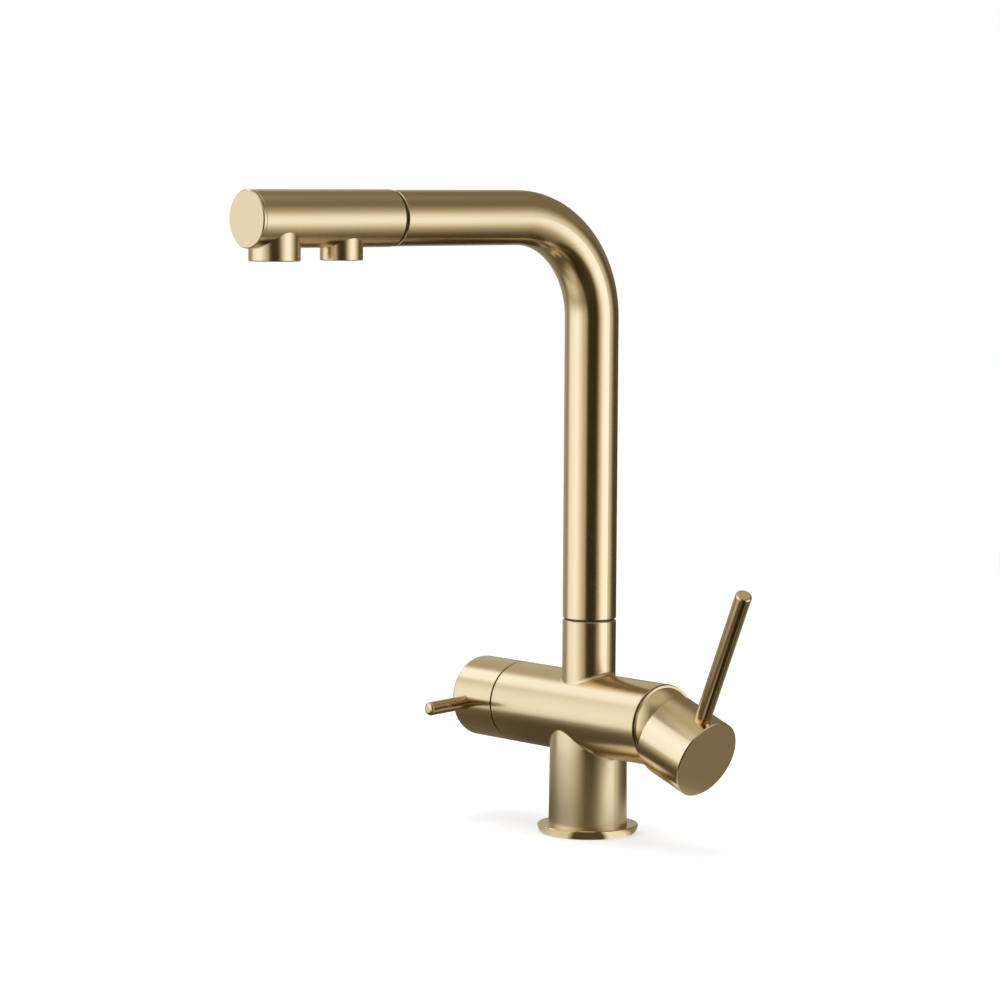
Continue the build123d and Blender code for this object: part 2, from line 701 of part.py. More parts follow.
with BuildPart() as head_waterway:
    waterway_start = -insert_start_y + end_gap
    waterway_end = -end_cap_y - end_cap_plug - end_gap
    plenum_start = -filter_outlet_y + filter_block_end
    with BuildSketch(arm_plane.offset(waterway_start)):
        Circle(head_bore_r - cast_gap)
    extrude(amount=waterway_end - waterway_start)
    with BuildSketch(arm_plane.offset(waterway_start)):
        Circle(filter_tube_r + seat)
    extrude(amount=-filter_end_y - waterway_start + end_gap, mode=Mode.SUBTRACT)
    with BuildSketch(arm_plane.offset(waterway_start)):
        Circle(filter_run_r)
    extrude(amount=-filter_outlet_y - waterway_start, mode=Mode.SUBTRACT)
    with BuildSketch(arm_plane.offset(waterway_start)):
        with PolarLocations(bypass_circle_r, 4, start_angle=45):
            Circle(bypass_r)
    extrude(amount=plenum_start - waterway_start + overrun, mode=Mode.SUBTRACT)
    with BuildSketch(arm_plane.offset(plenum_start)):
        Circle(head_bore_r - cast_gap - waterway_wall)
    extrude(amount=waterway_end - plenum_start, mode=Mode.SUBTRACT)
    with BuildSketch(Plane.XY.offset(arm_z - head_bore_r)):
        with Locations((0, filter_outlet_y)):
            Circle(filter_drop_r)
        with Locations((0, main_outlet_y)):
            Circle(main_drop_r)
    extrude(amount=head_bore_r, mode=Mode.SUBTRACT)
save(head_waterway.part, "head_waterway")


def aerator(centre_y, thread_r, rings):
    """An aerator's threaded sleeve and the perforated insert that lies on its lip."""
    sleeve_r = thread_r - seat
    insert_r = sleeve_r - aerator_rim
    foot = Plane.XY.offset(outlet_foot_z + aerator_recess)
    with BuildPart() as housing:
        with BuildSketch(foot):
            with Locations((0, centre_y)):
                Circle(sleeve_r)
                Circle(insert_r - aerator_lip_w, mode=Mode.SUBTRACT)
        extrude(amount=aerator_lip)
        with BuildSketch(foot.offset(aerator_lip)):
            with Locations((0, centre_y)):
                Circle(sleeve_r)
                Circle(insert_r, mode=Mode.SUBTRACT)
        extrude(amount=aerator_h - aerator_lip)
        mouth = housing.faces().sort_by(Axis.Z)[0].outer_wire().edges()
        chamfer(mouth, aerator_edge)
    with BuildPart() as insert:
        with BuildSketch(foot.offset(aerator_lip)):
            with Locations((0, centre_y)):
                Circle(insert_r - seat)
                Circle(aerator_hole_r, mode=Mode.SUBTRACT)
                for ring in range(1, rings + 1):
                    pitch_r = ring * (insert_r - aerator_hole_margin) / rings
                    with PolarLocations(pitch_r, 6 * ring):
                        Circle(aerator_hole_r, mode=Mode.SUBTRACT)
        extrude(amount=aerator_insert_h)
    return housing.part, insert.part


main_housing, main_insert = aerator(main_outlet_y, main_thread_r, 4)
save(main_housing, "main_aerator_housing")
save(main_insert, "main_aerator_insert")
filter_housing, filter_insert = aerator(filter_outlet_y, filter_thread_r, 3)
save(filter_housing, "filter_aerator_housing")
save(filter_insert, "filter_aerator_insert")

# ================================================================== mixer cartridge
port_places = [
    (0, mixed_run_lift),
    (socket_xy, -supply_run_drop),
    (-socket_xy, -supply_run_drop),
]

with BuildPart() as cartridge_seals:
    with BuildSketch(cross_plane.offset(cartridge_seat_x)):
        with Locations(*port_places):
            Circle(supply_run_r + port_seal_w)
            Circle(supply_run_r, mode=Mode.SUBTRACT)
    extrude(amount=cartridge_seal_t)
save(cartridge_seals.part, "cartridge_seals")

with BuildPart() as cartridge_base:
    with BuildSketch(cross_plane.offset(cartridge_base_x)):
        Circle(cartridge_r)
        with Locations(*port_places):
            Circle(port_r, mode=Mode.SUBTRACT)
    extrude(amount=base_plate_t)
save(cartridge_base.part, "cartridge_base")

with BuildPart() as cartridge_fixed_disc:
    with BuildSketch(cross_plane.offset(fixed_disc_x)):
        Circle(ceramic_r)
        with Locations(*port_places):
            Circle(port_r, mode=Mode.SUBTRACT)
    extrude(amount=fixed_disc_t)
save(cartridge_fixed_disc.part, "cartridge_fixed_disc")

with BuildPart() as cartridge_body:
    with BuildSketch(cross_plane.offset(fixed_disc_x)):
        Circle(cartridge_r)
    extrude(amount=shoulder_x - fixed_disc_x)
    with BuildSketch(cross_plane.offset(shoulder_x)):
        Circle(collar_r)
    extrude(amount=collar_end_x - shoulder_x)
    with BuildSketch(cross_plane.offset(fixed_disc_x)):
        Circle(ceramic_r + seat)
    extrude(amount=shoulder_x - end_gap - fixed_disc_x, mode=Mode.SUBTRACT)
    with BuildSketch(cross_plane.offset(fixed_disc_x)):
        Circle(turret_r + slip)
    extrude(amount=collar_end_x - fixed_disc_x, mode=Mode.SUBTRACT)
save(cartridge_body.part, "cartridge_body")

# the moving disc and its carrier stand off centre while the tap is open
disc_shift = ball_arm * sin(tilt)
disc_centre = Vector(0, 0, cross_axis_z) + upright * disc_shift
disc_plane = Plane(origin=disc_centre, x_dir=upright, z_dir=(1, 0, 0))

with BuildPart() as cartridge_moving_disc:
    with BuildSketch(disc_plane.offset(moving_disc_x)):
        Circle(moving_disc_r)
    extrude(amount=moving_disc_t)
    with BuildSketch(disc_plane.offset(moving_disc_x)):
        Circle(moving_disc_r - moving_disc_rim)
    extrude(amount=moving_disc_pocket, mode=Mode.SUBTRACT)
save(cartridge_moving_disc.part, "cartridge_moving_disc")

with BuildPart() as cartridge_disc_carrier:
    with BuildSketch(disc_plane.offset(carrier_x)):
        Circle(moving_disc_r)
    extrude(amount=carrier_t)
    with BuildSketch(disc_plane.offset(carrier_top_x)):
        Circle(ball_r + 2 * slip + carrier_socket_wall)
    extrude(amount=turret_foot_x - carrier_headroom - carrier_top_x)
    with BuildSketch(disc_plane.offset(carrier_top_x + carrier_socket_floor)):
        Circle(ball_r + 2 * slip)
    extrude(amount=turret_foot_x - carrier_top_x, mode=Mode.SUBTRACT)
save(cartridge_disc_carrier.part, "cartridge_disc_carrier")

with BuildPart() as cartridge_turret:
    with BuildSketch(turret_plane.offset(turret_foot_x - pivot_x)):
        Circle(turret_flange_r)
    extrude(amount=turret_flange_t - slip)
    with BuildSketch(turret_plane.offset(turret_foot_x - pivot_x)):
        Circle(turret_r)
    extrude(amount=collar_end_x - turret_foot_x)
    with BuildSketch(turret_plane.offset(turret_foot_x - pivot_x)):
        Rectangle(turret_slot_len, stem_size + 2 * stem_side_gap)
    extrude(amount=collar_end_x - turret_foot_x, mode=Mode.SUBTRACT)
    # hole for the pivot pin, along the tilt axis
    with BuildSketch(tilt_pin_plane):
        Circle(pivot_pin_r + seat / 2)
    extrude(amount=turret_r, both=True, mode=Mode.SUBTRACT)
save(cartridge_turret.part, "cartridge_turret")

with BuildPart() as cartridge_pivot_pin:
    with BuildSketch(tilt_pin_plane):
        Circle(pivot_pin_r)
    extrude(amount=turret_r - 2 * end_gap, both=True)
save(cartridge_pivot_pin.part, "cartridge_pivot_pin")

with BuildPart() as cartridge_stem:
    with BuildSketch(cap_plane.offset(stem_heel - ball_arm)):
        RectangleRounded(stem_size, stem_size, stem_corner_r)
    extrude(amount=stem_end + ball_arm - stem_heel)
    with BuildSketch(cap_plane.offset(-ball_arm)):
        Circle(ball_neck_r)
    extrude(amount=stem_heel + overrun)
    with BuildSketch(cap_section):
        with BuildLine():
            ball_back = (-ball_arm - ball_r, 0)
            ball_front = (-ball_arm + ball_r, 0)
            ThreePointArc(ball_back, (-ball_arm, ball_r), ball_front)
            Line(ball_front, ball_back)
        make_face()
    revolve(axis=cap_centre_line)
    with BuildSketch(tilt_pin_plane):
        Circle(pivot_pin_r + slip)
    extrude(amount=stem_size, both=True, mode=Mode.SUBTRACT)
save(cartridge_stem.part, "cartridge_stem")

with BuildPart() as cartridge_nut:
    with BuildSketch(cross_plane.offset(shoulder_x)):
        Circle(nut_r)
        Circle(collar_r + end_gap, mode=Mode.SUBTRACT)
    extrude(amount=nut_end_x - shoulder_x)
    with BuildSketch(cross_plane.offset(nut_end_x - nut_slot_depth)):
        with PolarLocations(nut_r - nut_slot_in, nut_slots):
            Rectangle(2 * nut_slot_in, nut_slot_w, align=(Align.MIN, Align.CENTER))
    extrude(amount=nut_slot_depth, mode=Mode.SUBTRACT)
save(cartridge_nut.part, "cartridge_nut")

# ================================================================== mixer cover, cap and lever
dome_rim_x = cross_right_x + dome_gap
dome_start_x = dome_rim_x + dome_rim_t
dome_inner_r = dome_r - dome_wall
skirt_r = nut_r - seat
skirt_inner_r = skirt_r - skirt_wall
skirt_x = nut_end_x + cast_gap


def on_dome(radius, height):
    """Where the ball of this radius stands this high off the cross tube's axis."""
    return (pivot_x + sqrt(radius**2 - height**2), height)


def mid_dome(radius, low, high):
    """A point of the ball's arc, half way between two heights."""
    mid = (asin(low / radius) + asin(high / radius)) / 2
    return (pivot_x + radius * cos(mid), radius * sin(mid))


with BuildPart() as dome_cover:
    with BuildSketch(cross_section):
        with BuildLine():
            dome_foot_r = sqrt(dome_r**2 - (dome_start_x - pivot_x) ** 2)
            Polyline(
                (dome_start_x, dome_foot_r),
                (dome_start_x, dome_rim_r - dome_rim_edge),
                (dome_start_x - dome_rim_edge, dome_rim_r),
                (dome_rim_x + dome_rim_edge, dome_rim_r),
                (dome_rim_x, dome_rim_r - dome_rim_edge),
                (dome_rim_x, skirt_r),
                (skirt_x, skirt_r),
                (skirt_x, skirt_inner_r),
                on_dome(dome_inner_r, skirt_inner_r),
            )
            ThreePointArc(
                on_dome(dome_inner_r, skirt_inner_r),
                mid_dome(dome_inner_r, dome_hole_r, skirt_inner_r),
                on_dome(dome_inner_r, dome_hole_r),
            )
            Line(on_dome(dome_inner_r, dome_hole_r), on_dome(dome_r, dome_hole_r))
            ThreePointArc(
                on_dome(dome_r, dome_hole_r),
                mid_dome(dome_r, dome_hole_r, dome_foot_r),
                (dome_start_x, dome_foot_r),
            )
        make_face()
    revolve(axis=cross_axis)
save(dome_cover.part, "dome_cover")

cavity_r = dome_r + mixer_cap_over
cap_floor = mixer_cap_face - mixer_cap_front_t
# the underside of the cap's rim is cut parallel to the cross tube's end, just clear of the cover
relief_x = dome_start_x + mixer_cap_clear

with BuildPart() as mixer_cap:
    with BuildSketch(cap_plane.offset(mixer_cap_back)):
        Circle(mixer_cap_r)
    extrude(amount=mixer_cap_face - mixer_cap_back)
    for end, edge in ((0, mixer_cap_back_edge), (-1, mixer_cap_edge)):
        chamfer(edges().filter_by(GeomType.CIRCLE).group_by(Axis(pivot, cap_axis))[end], edge)
    with BuildSketch(cap_plane.offset(mixer_cap_back)):
        Circle(mixer_cap_bore_r)
    extrude(amount=cap_floor - mixer_cap_back, mode=Mode.SUBTRACT)
    with BuildSketch(cap_section):
        with BuildLine():
            ThreePointArc((0, -cavity_r), (cavity_r, 0), (0, cavity_r))
            Line((0, cavity_r), (0, -cavity_r))
        make_face()
        Rectangle(4 * cavity_r, 2 * cavity_r, align=(Align.CENTER, Align.MAX), mode=Mode.SUBTRACT)
    revolve(axis=cap_centre_line, mode=Mode.SUBTRACT)
    with BuildSketch(cap_plane.offset(mixer_boss_back)):
        Circle(mixer_boss_r)
    extrude(amount=cap_floor - mixer_boss_back)
    # post that carries the rod, from the boss to the cap's wall
    with BuildSketch(rod_plane.offset(mixer_boss_r - post_sunk)):
        Circle(rod_post_r)
    extrude(amount=mixer_cap_bore_r + post_in_wall - mixer_boss_r + post_sunk)
    with BuildSketch(cap_plane.offset(mixer_boss_back)):
        RectangleRounded(stem_size + 2 * seat, stem_size + 2 * seat, stem_corner_r)
    extrude(amount=stem_end + end_gap - mixer_boss_back, mode=Mode.SUBTRACT)
    with BuildSketch(rod_plane):
        Circle(rod_stud_r + seat)
    extrude(amount=rod_seat, mode=Mode.SUBTRACT)
    with BuildSketch(rod_plane.offset(rod_seat)):
        Circle(rod_r + seat)
    extrude(amount=rod_seat, mode=Mode.SUBTRACT)
    with BuildSketch(Plane.YZ.offset(relief_x)):
        with Locations((0, cross_axis_z)):
            Rectangle(4 * mixer_cap_r, 4 * mixer_cap_r)
    extrude(amount=-2 * mixer_cap_r, mode=Mode.SUBTRACT)
save(mixer_cap.part, "mixer_cap")

with BuildPart() as mixer_lever:
    with BuildSketch(rod_plane.offset(rod_seat)):
        Circle(rod_r)
    extrude(amount=rod_end - rod_seat)
    fillet(edges().group_by(Axis(rod_foot, rod_axis))[-1], rod_tip_round)
    with BuildSketch(rod_plane.offset(rod_stud_start)):
        Circle(rod_stud_r)
    extrude(amount=rod_seat - rod_stud_start)
save(mixer_lever.part, "mixer_lever")


def grub_screw(plane, tip, length, screw_r):
    """A headless screw with a cone point: the plane's height is measured along the screw."""
    with BuildPart() as screw:
        with BuildSketch(plane.offset(tip)):
            Circle(screw_r / 2)
        with BuildSketch(plane.offset(tip + grub_point)):
            Circle(screw_r)
        loft()
        with BuildSketch(plane.offset(tip + grub_point)):
            Circle(screw_r)
        extrude(amount=length - grub_point)
        with BuildSketch(plane.offset(tip + length)):
            RegularPolygon(grub_hex_share * screw_r, 6)
        extrude(amount=-grub_hex_depth, mode=Mode.SUBTRACT)
    return screw.part


mixer_grub_tip = stem_size / 2 + seat + free_gap
mixer_grub_screw = grub_screw(rod_plane, mixer_grub_tip, mixer_grub_len, rod_stud_r - seat)
save(mixer_grub_screw, "mixer_grub_screw")

# ================================================================== filtered-water valve
headpart_foot_x = filter_seat_x - headpart_seat_t
disc_floor_x = headpart_foot_x - end_gap
rotor_x = disc_floor_x - valve_disc_t
spindle_x = rotor_x - rotor_disc_t
spindle_flange_x = spindle_x - tongue_h
spindle_shaft_x = spindle_flange_x - spindle_flange_t
headpart_hex_x = cross_left_x - headpart_hex_t

with BuildPart() as filter_valve_gasket:
    with BuildSketch(cross_plane.offset(headpart_foot_x)):
        Circle(headpart_foot_r - cast_gap)
        Circle(filter_pocket_r + end_gap, mode=Mode.SUBTRACT)
    extrude(amount=headpart_seat_t)
save(filter_valve_gasket.part, "filter_valve_gasket")

with BuildPart() as filter_valve_body:
    with BuildSketch(cross_section):
        with BuildLine():
            Polyline(
                (headpart_foot_x, valve_bore_r),
                (headpart_foot_x, headpart_foot_r),
                (headpart_foot_x - headpart_foot_t, headpart_foot_r),
                (headpart_foot_x - headpart_foot_t, headpart_waist_r),
                (filter_thread_x, headpart_waist_r),
                (filter_thread_x, headpart_thread_r),
                (cross_left_x, headpart_thread_r),
                (cross_left_x, headpart_nose_r),
                (headpart_nose_x, headpart_nose_r),
                (headpart_nose_x, spindle_r + slip),
                (spindle_shaft_x - end_gap, spindle_r + slip),
                (spindle_shaft_x - end_gap, valve_bore_r),
                close=True,
            )
        make_face()
    revolve(axis=cross_axis)
    with BuildSketch(cross_plane.offset(headpart_hex_x)):
        RegularPolygon(headpart_hex / 2, 6, major_radius=False)
        Circle(headpart_nose_r, mode=Mode.SUBTRACT)
    extrude(amount=headpart_hex_t)
    # side windows that let the filtered water out into the chamber
    with BuildSketch(Plane.XY.offset(cross_axis_z)):
        with Locations((spindle_x - tongue_h / 2, 0)):
            Circle(headpart_window_r)
    extrude(amount=headpart_waist_r + overrun, both=True, mode=Mode.SUBTRACT)
save(filter_valve_body.part, "filter_valve_body")


with BuildPart() as filter_fixed_disc:
    with BuildSketch(cross_plane.offset(rotor_x)):
        Circle(valve_bore_r - seat)
        with PolarLocations(valve_port_offset, 2):
            Circle(valve_port_r, mode=Mode.SUBTRACT)
    extrude(amount=valve_disc_t)
save(filter_fixed_disc.part, "filter_fixed_disc")

# the rotor disc's ports stand a quarter turn from the fixed ones while the tap is shut
with BuildPart() as filter_rotor_disc:
    with BuildSketch(cross_plane.offset(rotor_x - rotor_disc_t)):
        Circle(valve_bore_r - slip)
        with PolarLocations(valve_port_offset, 2, start_angle=90):
            Circle(valve_port_r, mode=Mode.SUBTRACT)
    extrude(amount=rotor_disc_t)
    with BuildSketch(cross_plane.offset(rotor_x - rotor_disc_t)):
        Rectangle(tongue_len + 2 * slip, tongue_w + 2 * slip)
    extrude(amount=tongue_h, mode=Mode.SUBTRACT)
save(filter_rotor_disc.part, "filter_rotor_disc")

with BuildPart() as filter_valve_spindle:
    with BuildSketch(cross_plane.offset(spindle_end_x)):
        Circle(spindle_r)
    extrude(amount=spindle_shaft_x - spindle_end_x)
    with BuildSketch(cross_plane.offset(spindle_shaft_x)):
        Circle(valve_bore_r - slip)
    extrude(amount=spindle_flange_x - spindle_shaft_x)
    with BuildSketch(cross_plane.offset(spindle_flange_x)):
        Rectangle(tongue_len, tongue_w)
    extrude(amount=spindle_x - spindle_flange_x + tongue_h - tongue_gap)
save(filter_valve_spindle.part, "filter_valve_spindle")

filter_cap_floor_x = filter_cap_end_x + filter_cap_front_t
filter_boss_start_x = headpart_nose_x - nose_gap

with BuildPart() as filter_cap:
    with BuildSketch(cross_plane.offset(filter_cap_end_x)):
        Circle(cross_r)
    extrude(amount=filter_cap_start_x - filter_cap_end_x)
    fillet(edges().filter_by(GeomType.CIRCLE).group_by(Axis.X)[0], filter_cap_round)
    chamfer(edges().filter_by(GeomType.CIRCLE).group_by(Axis.X)[-1], hair_edge)
    with BuildSketch(cross_plane.offset(filter_cap_floor_x)):
        Circle(filter_cap_bore_r)
    extrude(amount=filter_cap_start_x - filter_cap_floor_x, mode=Mode.SUBTRACT)
    with BuildSketch(cross_plane.offset(filter_cap_floor_x)):
        Circle(filter_boss_r)
    extrude(amount=filter_boss_start_x - filter_cap_floor_x)
    with BuildSketch(pin_plane.offset(filter_boss_r - post_sunk)):
        Circle(pin_post_r)
    extrude(amount=filter_cap_bore_r + post_in_wall - filter_boss_r + post_sunk)
    with BuildSketch(cross_plane.offset(spindle_end_x - end_gap)):
        Circle(spindle_r + seat)
    extrude(amount=filter_boss_start_x - spindle_end_x + end_gap, mode=Mode.SUBTRACT)
    with BuildSketch(pin_plane):
        Circle(pin_stud_r + seat)
    extrude(amount=pin_seat, mode=Mode.SUBTRACT)
    with BuildSketch(pin_plane.offset(pin_seat)):
        Circle(pin_r + seat)
    extrude(amount=pin_seat, mode=Mode.SUBTRACT)
save(filter_cap.part, "filter_cap")

with BuildPart() as filter_lever:
    with BuildSketch(pin_plane.offset(pin_seat)):
        Circle(pin_r)
    extrude(amount=pin_end - pin_seat)
    fillet(edges().group_by(Axis((pin_x, 0, cross_axis_z), pin_axis))[-1], pin_tip_round)
    with BuildSketch(pin_plane.offset(pin_stud_start)):
        Circle(pin_stud_r)
    extrude(amount=pin_seat - pin_stud_start)
save(filter_lever.part, "filter_lever")

filter_grub_tip = spindle_r + seat
filter_grub_screw = grub_screw(pin_plane, filter_grub_tip, filter_grub_len, pin_stud_r - seat)
save(filter_grub_screw, "filter_grub_screw")

tube_section = pi * (filter_tube_r**2 - filter_tube_bore_r**2)
print(f"filtered-water tube: {filter_tube.part.volume / tube_section:.1f} mm long")
print(f"the moving disc stands {disc_shift:.2f} mm off centre")
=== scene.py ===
"""Finishes, studio and camera for the three way filtered water tap."""

from math import cos, degrees, radians, sin

import bpy
from mathutils import Matrix, Vector

bl_info = {
    "name": "Three way filtered water tap",
    "version": (1, 0, 0),
    "blender": (4, 5, 0),
    "location": "View3D > Sidebar > Tap",
    "description": "Satin gold finishes and a soft studio for a kitchen tap",
    "category": "Object",
}

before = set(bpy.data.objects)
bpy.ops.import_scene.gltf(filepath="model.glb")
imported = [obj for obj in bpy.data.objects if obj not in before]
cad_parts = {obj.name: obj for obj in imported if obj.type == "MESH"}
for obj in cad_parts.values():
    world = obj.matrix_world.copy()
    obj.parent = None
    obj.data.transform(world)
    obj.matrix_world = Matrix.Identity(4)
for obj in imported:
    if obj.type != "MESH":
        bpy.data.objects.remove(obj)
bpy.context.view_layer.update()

MM = 0.001

# the CAD's own sizes and slopes, which the brushing follows
CROSS_AXIS_Z = 63.0 * MM         # height of the cross tube's axis
CROSS_R = 21.4 * MM
BEND_R = 52.0 * MM               # the spout's bend, on its centre line
BEND_Z = 270.0 * MM              # where the bend starts
MIXER_TILT = radians(22.6)       # the mixer cap's axis, below the cross tube's
MIXER_TURN = radians(14.0)       # the mixer's turn towards the front
MIXER_ROD_LEAN = radians(11.0)   # the rod, out from square to the cap's axis
FILTER_PIN_DIP = radians(3.3)    # the small lever, below level


# ------------------------------------------------------------------ settings
def colour_setting(name, description, default):
    """A colour that the user can change."""
    return bpy.props.FloatVectorProperty(
        name=name, description=description, default=default, subtype="COLOR", size=3, min=0, max=1
    )


def share_setting(name, description, default):
    """A share from 0 to 1."""
    return bpy.props.FloatProperty(
        name=name, description=description, default=default, subtype="FACTOR", min=0, max=1
    )


def length_setting(name, description, default):
    """A length in metres."""
    return bpy.props.FloatProperty(
        name=name, description=description, default=default, unit="LENGTH", min=0, precision=5
    )


def angle_setting(name, description, default):
    """An angle, given in degrees."""
    return bpy.props.FloatProperty(
        name=name, description=description, default=radians(default), subtype="ANGLE"
    )


def level_setting(name, description, default):
    """A strength with no unit."""
    return bpy.props.FloatProperty(name=name, description=description, default=default, min=0)


class TapFinish(bpy.types.PropertyGroup):
    """Colours and surfaces of the tap's pieces."""

    gold: colour_setting("Gold", "Coating of every outside piece", (0.76, 0.575, 0.345))
    satin: share_setting("Satin", "Roughness of the satin tubes and caps", 0.18)
    polished: share_setting("Polished", "Roughness of the levers and the base flange", 0.14)
    grain_pitch: length_setting("Grain pitch", "Width of one brushing line", 0.45 * MM)
    grain_length: level_setting("Grain length", "How many widths long a line is", 45.0)
    grain_depth: length_setting("Grain depth", "Depth of the brushing lines", 0.004 * MM)
    drift: share_setting("Drift", "How far the coating's tint wanders over a piece", 0.05)
    brass: colour_setting("Brass", "Uncoated turned brass", (0.72, 0.56, 0.28))
    steel: colour_setting("Steel", "Screws and the cartridge's stem", (0.6, 0.6, 0.6))
    rubber: colour_setting("Rubber", "Seals and gaskets", (0.03, 0.03, 0.03))
    black_plastic: colour_setting("Black plastic", "Washer under the spout", (0.03, 0.03, 0.03))
    white_plastic: colour_setting("White plastic", "Filtered-water parts", (0.85, 0.85, 0.82))
    grey_plastic: colour_setting("Grey plastic", "Cartridge and aerators", (0.32, 0.33, 0.34))
    ceramic: colour_setting("Ceramic", "Lapped valve discs", (0.88, 0.87, 0.84))


class TapStage(bpy.types.PropertyGroup):
    """The studio and the camera."""

    camera_out: length_setting("Distance", "From the column's axis to the camera, level", 1.95195)
    camera_height: length_setting("Height", "Of the camera above the worktop", 0.34718)
    camera_side: angle_setting("Side", "How far round from the spout the camera stands", 48.481)
    camera_turn: angle_setting("Turn", "Compass direction that the camera looks in", 49.862)
    camera_dip: angle_setting("Dip", "How far below level the camera looks", 5.053)
    camera_roll: angle_setting("Roll", "Tilt of the horizon", 0.343)
    lens: level_setting("Lens", "Focal length in millimetres on a 36 mm sensor", 135.28)
    side_light: level_setting("Side lamps", "Brightness of the two side lamps", 1.0)
    top_light: level_setting("Top lamp", "Brightness of the lamp overhead", 1.0)
    room: level_setting("Room", "Even light from all round", 0.7)
    floor: colour_setting("Floor", "Colour of the floor", (0.62, 0.62, 0.62))


# ------------------------------------------------------------------ shader building
VECTOR_A, VECTOR_B, VECTOR_RESULT = 4, 5, 1    # a Mix node's sockets for vectors
NOISE_MIDDLE = 0.5
NOISE_LOW, NOISE_HIGH = 0.3, 0.7               # most values of a noise lie between these


class Board:
    """Adds nodes to one shader tree."""

    def __init__(self, tree):
        self.tree = tree

    def add(self, kind, **values):
        """A node with its own settings."""
        node = self.tree.nodes.new(kind)
        for key, value in values.items():
            setattr(node, key, value)
        return node

    def feed(self, socket, value):
        """Link a socket to the input, or write the number into it."""
        if isinstance(value, bpy.types.NodeSocket):
            self.tree.links.new(value, socket)
        elif value is not None:
            socket.default_value = value

    def fill(self, node, *values):
        """Feed a node's first sockets in their order, and return its first output."""
        for socket, value in zip(node.inputs, values):
            self.feed(socket, value)
        return node.outputs[0]

    def math(self, operation, a, b=None, clamp=False):
        """One step of arithmetic."""
        return self.fill(self.add("ShaderNodeMath", operation=operation, use_clamp=clamp), a, b)

    def plus(self, a, b):
        """Two values added."""
        return self.math("ADD", a, b)

    def minus(self, a, b):
        """The second value taken from the first."""
        return self.math("SUBTRACT", a, b)

    def times(self, a, b, clamp=False):
        """Two values multiplied."""
        return self.math("MULTIPLY", a, b, clamp)

    def over(self, a, b):
        """The first value divided by the second."""
        return self.math("DIVIDE", a, b)

    def largest(self, first, *others):
        """The largest of several values."""
        for other in others:
            first = self.math("MAXIMUM", first, other)
        return first

    def hypotenuse(self, a, b):
        """The long side of a triangle with a square corner."""
        return self.math("SQRT", self.plus(self.times(a, a), self.times(b, b)))

    def angle(self, operation, a, b=None):
        """An angle from arithmetic, in degrees."""
        return self.times(self.math(operation, a, b), degrees(1.0))

    def vector(self, operation, a, b=None):
        """One step of arithmetic on vectors."""
        node = self.add("ShaderNodeVectorMath", operation=operation)
        self.fill(node, a, b)
        return node.outputs["Value" if operation in {"DOT_PRODUCT", "LENGTH"} else "Vector"]

    def scale(self, vector, factor):
        """A vector or colour multiplied by a number."""
        node = self.add("ShaderNodeVectorMath", operation="SCALE")
        self.feed(node.inputs["Scale"], factor)
        return self.fill(node, vector)

    def split(self, vector):
        """The three parts of a vector."""
        node = self.add("ShaderNodeSeparateXYZ")
        self.fill(node, vector)
        return node.outputs[:3]

    def join(self, x, y, z):
        """A vector from its three parts."""
        return self.fill(self.add("ShaderNodeCombineXYZ"), x, y, z)

    def blend(self, share, first, second):
        """A vector or colour between two others."""
        node = self.add("ShaderNodeMix", data_type="VECTOR")
        self.feed(node.inputs["Factor"], share)
        self.feed(node.inputs[VECTOR_A], first)
        self.feed(node.inputs[VECTOR_B], second)
        return node.outputs[VECTOR_RESULT]

    def ramp(self, value, low, high, out_low=0.0, out_high=1.0):
        """A smooth change from one value to another."""
        node = self.add("ShaderNodeMapRange", interpolation_type="SMOOTHSTEP")
        return self.fill(node, value, low, high, out_low, out_high)

    def levels(self, value, stops):
        """A value, or a colour, that runs straight from one stop to the next."""
        places = [place for place, level in stops]
        shades = [level if isinstance(level, tuple) else (level,) * 3 for place, level in stops]
        first, last = places[0], places[-1]
        top = max(part for shade in shades for part in shade)
        share = self.fill(self.add("ShaderNodeMapRange"), value, first, last)
        node = self.add("ShaderNodeValToRGB")
        self.feed(node.inputs[0], share)
        elements = node.color_ramp.elements
        while len(elements) < len(stops):
            elements.new(0.5)
        for element, place, shade in zip(elements, places, shades):
            element.position = (place - first) / (last - first)
            element.color = (*(part / top for part in shade), 1.0)
        return self.scale(node.outputs["Color"], top)

    def noise(self, place, scale, detail=2.0):
        """Soft random values in space, so many to the metre."""
        node = self.add("ShaderNodeTexNoise")
        for name, given in (("Vector", place), ("Scale", scale), ("Detail", detail)):
            self.feed(node.inputs[name], given)
        return node.outputs["Fac"]

    def group(self, tree, **given):
        """A node group with its inputs filled in."""
        node = self.add("ShaderNodeGroup")
        node.node_tree = tree
        for name, value in given.items():
            self.feed(node.inputs[name.capitalize()], value)
        return node.outputs

    def emission(self, colour, strength):
        """A surface that gives off light."""
        return self.fill(self.add("ShaderNodeEmission"), colour, strength)

    def shaders(self, share, first, second):
        """A surface between two others."""
        return self.fill(self.add("ShaderNodeMixShader"), share, first, second)

    def rays(self):
        """Whether a ray comes straight from the camera, and whether it was mirrored."""
        path = self.add("ShaderNodeLightPath").outputs
        straight = self.largest(path["Is Camera Ray"], path["Is Transmission Ray"])
        return straight, path["Is Glossy Ray"]


